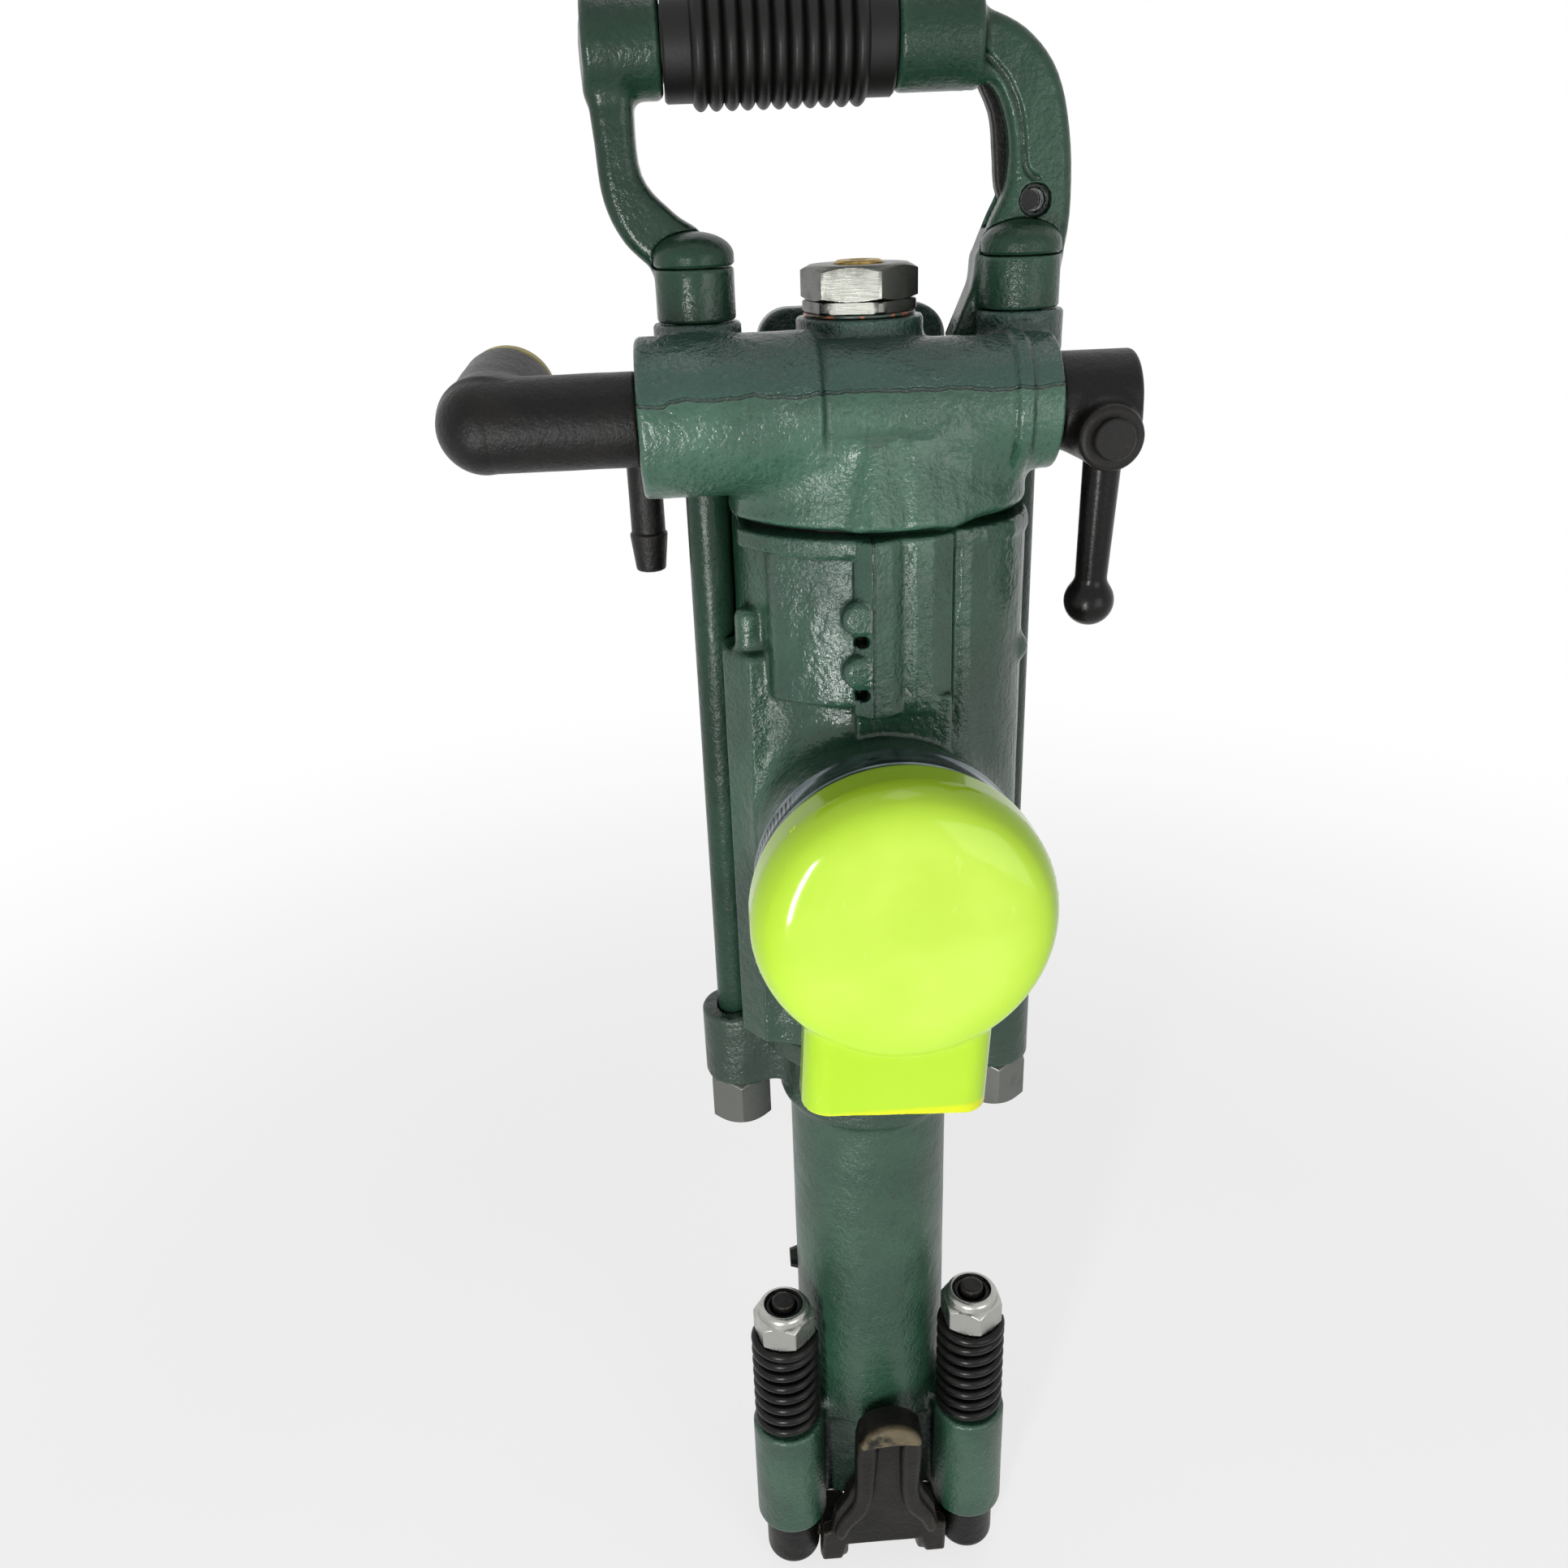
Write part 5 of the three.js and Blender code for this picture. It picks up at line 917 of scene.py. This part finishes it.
# Steel retainer: a ridged plate with a worn lip, two feet and their trunnions
retainer = {"half": 28.8, "low": -15.0, "front": -45.0, "back": -38.0, "ridge": 4.8, "lean": 0.035,
            "cell": 0.85}
retainerPlate = [(-17, -11), (-17, 2), (-17, 30), (-8, 66), (2, 68), (9, 67.5), (13.4, 63.5), (14.6, 57),
                 (14.6, 30),
                 (17.4, 21), (23, 10.5), (25, -1), (28.8, -2.4), (28.8, -20), (20, -20), (17.5, -11)]
retainerRidge = [(14.3, 59), (14.3, 27), (16.6, 17.5), (21.8, 8.5), (23.5, -0.5), (19.2, -1.5), (15.5, 6),
                 (9.6, 13), (6.8, 22), (6, 34), (6, 59)]
retainerLip = [(-13.2, 60.2), (-12.6, 64.2), (-9.6, 68.4), (-4.8, 71), (0, 71.8), (4.8, 71), (9.6, 68.4),
               (12.6, 64.2), (13.2, 60.2), (7, 60.9), (0, 61.2), (-7, 60.9)]


def retainerField(p):
    front, low, rear, half = retainer["front"], retainer["low"], retainer["back"], retainer["half"]
    # the plate leans a little to the right as it rises from its feet
    p = [p[0] - retainer["lean"] * np.clip(p[2] - low, 0, 90), p[1], p[2]]
    q = mirrored(p)
    foot = within(rod(q, 0, (lug["y"], low), 14, 16.5, half, 2.0), brick(q, (10, -44, -30), (40, -14, -8)), 1)
    ridge = slab(q, 1, smoothOutline(retainerRidge, 3), front - retainer["ridge"], front + 3, 3.0)
    body = joined(slab(q, 1, retainerPlate, front, rear, 1.6), (ridge, 2),
                  (slab(p, 1, smoothOutline(retainerLip, 3), -53.5, rear - 1, 2.0), 1.8), (foot, 3),
                  (rod(q, 0, (lug["y"], low), 4.7, 16.5, 36.7, 0.8), 0.6))
    return carve(body, ball(p, (0.8, front - 1, 57.5), 1.6), 0.6) + 0.2 * waves(p, 15, 21)


castPiece("steel_retainer_casting", retainerField, (-37, -54, -30), (37, -14, 73), retainer["cell"],
          retainerIron, ["retainer"], "steel_retainer")
print("lower fittings made")


# Muffler: a round pot with a soft front edge that runs into a flat spout, on a neck round the exhaust boss
muffler = {"radius": 49.3, "front": -119.0, "back": -88.0, "wall": 3.0, "softness": 18.0, "backSoftness": 6.0,
           "neck": 45.0, "neckBack": -72.0, "turn": math.radians(3.4), "dome": 320.0, "cell": 1.05}
spout = {"half": 31.0, "depth": 12.2, "y": -100.0, "bottom": 289.2, "corner": 9.0}


def mufflerShell(p, bottom, wall):
    # wall draws every face inwards; the pot's front edge is soft and its back edge is tighter
    z, front, rear = exhaust["z"], muffler["front"] + wall, muffler["back"] - wall
    across = span(p[0], p[2] - z) - muffler["radius"] + wall
    along = np.abs(p[1] - (front + rear) / 2) - (rear - front) / 2
    ease = np.where(p[1] < (front + rear) / 2, muffler["softness"] - wall, muffler["backSoftness"] - wall)
    pot = rounded(across, along, ease)
    bulge = muffler["dome"] - wall
    pot = within(pot, ball(p, (0, front + bulge, z), bulge), 4)
    halves = (spout["half"] - wall, spout["depth"] - wall)
    return weld(pot, plate(p, 2, (0, spout["y"]), halves, spout["corner"] - wall, bottom, z, 0.6), 0.9)


def mufflerField(p):
    # the spout hangs a little to the left of straight down
    z, turn = exhaust["z"], muffler["turn"]
    x, up = p[0], p[2] - z
    p = [x * math.cos(turn) - up * math.sin(turn), p[1], z + x * math.sin(turn) + up * math.cos(turn)]
    shell = mufflerShell(p, spout["bottom"], 0.0)
    shell = weld(shell, rod(p, 1, (0, z), muffler["neck"], muffler["back"] - 5, muffler["neckBack"], 0.8), 2)
    shell = carve(shell, mufflerShell(p, spout["bottom"] - 30, muffler["wall"]), 0.6)
    return bored(p, shell, (1, (0, z), 42.6, muffler["back"] - 6, muffler["neckBack"] + 6, 0.4))


castPiece("muffler_pot", mufflerField, (-51, -120, 285), (51, -71, 409), muffler["cell"], lime, ["muffler"],
          "muffler")


# Clamp band round the muffler's neck, and its screw
clamp = {"inner": 45.3, "outer": 46.3, "front": -85.0, "back": -73.0, "angle": math.radians(-145),
         "screwY": -79.0}
screwPlace = (0, 50.3)


def clampSteel():
    # polished band, with slots for the screw's thread over part of its round
    f = Finish("clamp_band_steel", metallic=1.0)
    x, y, z = f.parts()
    angle = f.maths("ARCTAN2", z - exhaust["z"] * mm, x)
    wave = f.maths("SINE", angle * 130 + y * 160)
    slots = wave.step(0.1, 0.5) * (y + 0.079).size().step(0.0042, 0.0036) * angle.step(2.32, 2.4)
    colour = f.blend(f.noise(12, 3.0).step(0.35, 0.7), (84, 94, 98), (118, 128, 130))
    # the slots are painted nearly black: painted shade in place of openings
    colour = f.blend(slots, colour, (8, 9, 9))
    rough = f.noise(3, 3.0) * 0.16 + 0.12
    return f.done(Base_Color=colour, Roughness=rough, Normal=f.bump(0 - slots, 0.5, 1.0))


inner, outer = clamp["inner"], clamp["outer"]
band = [(inner, clamp["front"]), (outer - 0.3, clamp["front"]), (outer + 0.3, -84.6), (outer + 0.3, -83.6),
        (outer, -83.0), (outer, -75.0), (outer + 0.3, -74.4), (outer + 0.3, -73.4),
        (outer - 0.3, clamp["back"]), (inner, clamp["back"])]
bandSteel = clampSteel()
turnedPiece("clamp_band", band[::-1], 1, (0, exhaust["z"]), bandSteel, ["muffler_clamp"], "muffler",
            sides=180, hollow=True)


def clampPlace(p):  # coordinates across, along and out from the screw's place round the band
    x, up, angle = p[0], p[2] - exhaust["z"], clamp["angle"]
    return [x * math.cos(angle) - up * math.sin(angle), p[1] - clamp["screwY"],
            x * math.sin(angle) + up * math.cos(angle)]


def clampHousingField(p):
    q = clampPlace(p)
    return bored(q, brick(q, (-8, -5.9, 46.0), (8, 5.9, 54.6), 1.6), (0, screwPlace, 3.3, -14, 14))


def clampScrewField(p):
    q = clampPlace(p)
    slot = brick(q, (-14, -4, 49.8), (-11.8, 4, 50.8), 0.1)
    return carve(rod(q, 0, screwPlace, 2.9, -13, 13, 0.4), slot, 0.1)


castPiece("clamp_housing", clampHousingField, (-50, -86, 300), (-10, -72, 335), 0.6, bandSteel, [], "muffler")
castPiece("clamp_screw_slotted", clampScrewField, (-46, -83, 300), (-10, -75, 335), 0.45, zinc,
          ["clamp_screw"], "muffler")


# Needle plug: washer, flange, hexagon and the core in its top
plug = {"flats": 34.0, "base": 532.7, "hexBase": 536.3, "hexTop": 547.0, "turn": math.radians(15)}
base, flats = plug["base"], plug["flats"]
profile = [(13.5, 515.1), (13.5, base), (18.4, base), (19.0, base + 0.5), (19.0, 535.8), (18.6, 536.2)]
profile += chamfer(flats, plug["hexBase"] + 1.1, plug["hexBase"])[::-1]
profile += chamfer(flats, plug["hexTop"] - 1.6, plug["hexTop"])
profile += [(16.4, 547.2), (9.0, 547.2), (8.4, 546.6), (8.4, 536)]
turnedPiece("needle_plug_hex", profile, 2, centre, steel, ["needle_plug"], sides=216, flats=flats,
            turn=plug["turn"])
turnedPiece("plug_washer_ring", [(13.8, 531.4), (18.3, 531.4), (18.6, 531.7), (18.6, 532.1), (18.3, 532.4),
                                 (13.8, 532.4)], 2, centre, washerPaint, ["plug_washer"], hollow=True)
turnedPiece("plug_core_button", [(8, 536), (8, 547.6)] + arc((6.6, 547.0), 1.4, 25, 90, 6)
            + [(3.4, 548.4), (2.8, 547.4), (0.05, 547.2)], 2, centre, brass, ["plug_core"])


# Handle bar and its ribbed grip
grip = {"left": -60.0, "right": 12.6, "radius": 17.0, "rib": 19.5, "ribs": 11, "bore": 11.3}
turnedPiece("handle_bar_round", [(10.2, -80), (11, -79.2), (11, 29.2), (10.2, 30)], 0, handlePlace, steel,
            ["handle_bar"])
left, right, radius, length = grip["left"], grip["right"], grip["radius"], grip["right"] - grip["left"]
first, last = left + length * 0.12, left + length * 0.88
places = np.linspace(first, last, grip["ribs"] * 12 + 1)
swell = np.abs(np.sin((places - first) / (last - first) * grip["ribs"] * math.pi)) ** 0.7
outside = [(16.2, left), (radius, left + 0.8)]
outside += [(radius + (grip["rib"] - radius) * s, w) for s, w in zip(swell, places)]
outside += [(radius, right - 0.8), (16.2, right), (grip["bore"], right), (grip["bore"], left)]
turnedPiece("grip_ribbed", outside, 0, handlePlace, rubber, ["grip_sleeve"], hollow=True)


# Lever: hub and lobe, the rod with its ball, and the pin
hub = {"left": 59.9, "right": 86.6, "radius": 15.4, "x": 74.2, "lobeZ": 495.1, "lobe": 10.6}
lever = {"y": -38.0, "top": 489.1, "reach": 51.4, "lean": math.radians(6.7), "ball": 8.5}
lobePlace = (hub["x"], hub["lobeZ"])


def hubField(p):
    body = rod(p, 0, crossPlace, hub["radius"], hub["left"], hub["right"], 2.0)
    body = weld(body, rod(p, 1, lobePlace, hub["lobe"], -48, -24, 2.0), 5)
    body = bored(p, body, (0, crossPlace, 8.3, hub["left"] - 5, 76.1), (1, lobePlace, 3.5, -52, -35.7))
    return carve(body, stick(p, (hub["x"], lever["y"], lever["top"]), (hub["x"], -32, 438), 6.6, 4.9), 0.5)


def leverRodField(p):  # the rod leans back a little from the lobe to its ball
    top = np.array([hub["x"], lever["y"], lever["top"]])
    end = top + lever["reach"] * np.array([0, math.sin(lever["lean"]), -math.cos(lever["lean"])])
    return weld(barrel(p, top, end, 6.3, 5.2, 0.8), ball(p, end, lever["ball"]), 2.0)


castPiece("lever_hub_casting", hubField, (59, -49, 483), (91, -8, 520), 0.8, iron, ["lever_hub"], "throttle")
castPiece("lever_rod_ball", leverRodField, (65, -48, 428), (85, -22, 491), 0.7, gloss, ["lever_rod"],
          "throttle")
turnedPiece("lever_pin_head", [(6.1, -51.3), (6.6, -50.8), (6.6, -48.7), (6.3, -48.3), (3.2, -48.3),
                               (3.2, -36.9), (2.6, -36.3)], 1, lobePlace, iron, ["lever_pin"], "throttle")


# Air elbow: spigot, round bend, and an outlet that tilts back and up, and a little to the right
elbow = {"bend": (-122.0, -24.0, 504.1), "tilt": math.radians(8), "side": math.radians(4), "radius": 15.0,
         "bore": 10.0, "reach": 34.0}
tilt, sideways = elbow["tilt"], elbow["side"]
outlet = np.array([math.cos(tilt) * math.sin(sideways), math.cos(tilt) * math.cos(sideways), math.sin(tilt)])
bend = np.array(elbow["bend"])


def elbowField(p):
    end, bore = bend + elbow["reach"] * outlet, elbow["bore"]
    body = np.minimum(rod(p, 0, crossPlace, elbow["radius"], -122, -74.8),
                      ball(p, (-124.3, -24, 504.1), 15.2))
    body = joined(body, (barrel(p, bend + (-1.5, 0, 0), end, 15.4, 16.4), 3),
                  (rod(p, 0, crossPlace, 13.8, -76, -52.8, 0.6), 0.5))
    body = bored(p, body + 0.12 * waves(p, 16, 31), (0, crossPlace, bore, -122, -45))
    return carve(body, barrel(p, bend - 2 * outlet, end + 5 * outlet, bore, bore, 0.2), 0.4)


castPiece("air_elbow_casting", elbowField, (-142, -41, 484), (-52, 15, 530), 0.85, iron, ["air_elbow"],
          "elbow")


def capField(p):
    body = barrel(p, bend + 34.3 * outlet, bend + 40.3 * outlet, 15.9, 15.7, 1.6)
    return weld(body, barrel(p, bend + 22 * outlet, bend + 36 * outlet, 9.6, 9.6, 0.6), 0.5)


castPiece("elbow_cap_plug", capField, (-139, -8, 490), (-105, 20, 530), 0.7, ochre, ["elbow_cap"], "cap")


# Water nozzle: in from the side, then down to a tapered ferrule
nozzle = {"x": -76.0, "radius": 6.2, "bore": 3.6, "cell": 0.7}


def nozzleField(p):
    x, radius, bore, drop = nozzle["x"], nozzle["radius"], nozzle["bore"], (nozzle["x"], nozzlePlace[0])
    body = joined(rod(p, 0, nozzlePlace, radius, x, -34, 0.6), (ball(p, (x, *nozzlePlace), 6.6), 1.5),
                  (rod(p, 2, drop, radius, 456, 495, 0.6), 1.5),
                  (rod(p, 2, drop, 5.4, 443, 457, 0.8, 1.6), 0.6))
    return bored(p, body, (2, drop, bore, 440, 495), (0, nozzlePlace, bore, x, -30))


castPiece("water_nozzle_bent", nozzleField, (-83, 13, 443), (-34, 27, 502), nozzle["cell"], iron,
          ["water_nozzle"])
print("upper fittings made")


# The pieces that stay as the frame gives them take their finish here
for material, nodes in ((bronze, "front_head_bush spline_nut guide_bush rifle_nut"),
                        (steel, "rotation_sleeve chuck_bush piston rifle_bar pawl_1 pawl_2 pawl_3 pawl_4"),
                        (steel, "valve_cover valve_chest distribution_valve water_needle throttle_valve"),
                        (rubber, "needle_seal elbow_seal"), (gloss, "ratchet_ring trigger_pin"),
                        (iron, "retract_plunger head_side_plug")):
    for node in nodes.split():
        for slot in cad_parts[node].material_slots:
            slot.material = material


# Floor, light and camera
def paperFinish():
    # seen by the camera the paper is white, mixed with its lit face near the object to keep the shadow
    f = Finish("floor_paper", roughness=0.9)
    f.done(Base_Color=f.blend(f.noise(60, 2.0), (246, 246, 246), (250, 250, 250)))
    share = f.seen().step(0, 1) * (f.away().step(0.3, 1.2) * 0.3 + 0.7)
    glow = f.tree.nodes.new("ShaderNodeEmission")
    mix = f.node("ShaderNodeMixShader", None, share, Value(f, f.shader.outputs[0]), Value(f, glow.outputs[0]))
    f.set(f.tree.nodes["Material Output"], 0, mix)
    return f.material


studio = {"floor": 6.0, "below": 0.001, "worldLight": 0.32, "worldSeen": 1.0}
side, floorZ = studio["floor"], float(cadBox[0][2]) - studio["below"]
floorMesh = bpy.data.meshes.new("floor")
floorMesh.from_pydata([(-side, -side, floorZ), (side, -side, floorZ), (side, side, floorZ),
                       (-side, side, floorZ)],
                      [], [(0, 1, 2, 3)])
floorMesh.materials.append(paperFinish())
floor = bpy.data.objects.new("floor", floorMesh)
bpy.context.scene.collection.objects.link(floor)

world = bpy.data.worlds.new("studio")
bpy.context.scene.world = world
sky = Nodes(world)
level = sky.node("ShaderNodeMapRange", None, Value=sky.seen(), **{"To Min": studio["worldLight"],
                                                                  "To Max": studio["worldSeen"]})
background = sky.tree.nodes["Background"]
sky.set(background, "Strength", level)
sky.set(background, "Color", (1, 1, 1, 1))

# each lamp: where it is, what it faces, its width and height, and its power in watts
lamps = {"key": ((0.56, -0.9, 0.4), (0, 0, 0.38), (0.6, 0.6), 2.8),
         "strip": ((-0.42, -0.9, 0.22), (0, 0, 0.36), (0.08, 0.42), 7.2),
         "top": ((0.1, 0.1, 1.9), (0, 0, 0.3), (0.5, 0.5), 1.6)}
for name, (place, target, (width, height), power) in lamps.items():
    data = bpy.data.lights.new(name, "AREA")
    data.shape, data.size, data.size_y, data.energy = "RECTANGLE", width, height, power
    lamp = bpy.data.objects.new(name, data)
    lamp.location = place
    lamp.rotation_euler = (Vector(target) - Vector(place)).to_track_quat("-Z", "Y").to_euler()
    bpy.context.scene.collection.objects.link(lamp)

view = {"place": (-57.4, -469.5, 573.4), "pitch": 24.27, "yaw": 3.22, "roll": 2.17, "lens": 30.82, "film": 36}


def cameraMatrix():
    pitch, yaw, roll = [math.radians(view[key]) for key in ("pitch", "yaw", "roll")]
    ahead = Vector((math.sin(yaw) * math.cos(pitch), math.cos(yaw) * math.cos(pitch), -math.sin(pitch)))
    right = Vector((math.cos(yaw), -math.sin(yaw), 0))
    up = right.cross(ahead)
    across = right * math.cos(roll) - up * math.sin(roll)
    above = right * math.sin(roll) + up * math.cos(roll)
    turned = Matrix((across, above, -ahead)).transposed().to_4x4()
    return Matrix.Translation(Vector(view["place"]) * mm) @ turned


camera = bpy.data.objects.new("camera", bpy.data.cameras.new("camera"))
camera.data.lens, camera.data.sensor_width, camera.data.clip_start = view["lens"], view["film"], 0.01
camera.matrix_world = cameraMatrix()
bpy.context.scene.collection.objects.link(camera)
bpy.context.scene.camera = camera
bpy.context.scene.view_settings.view_transform = "Standard"
print("studio made")
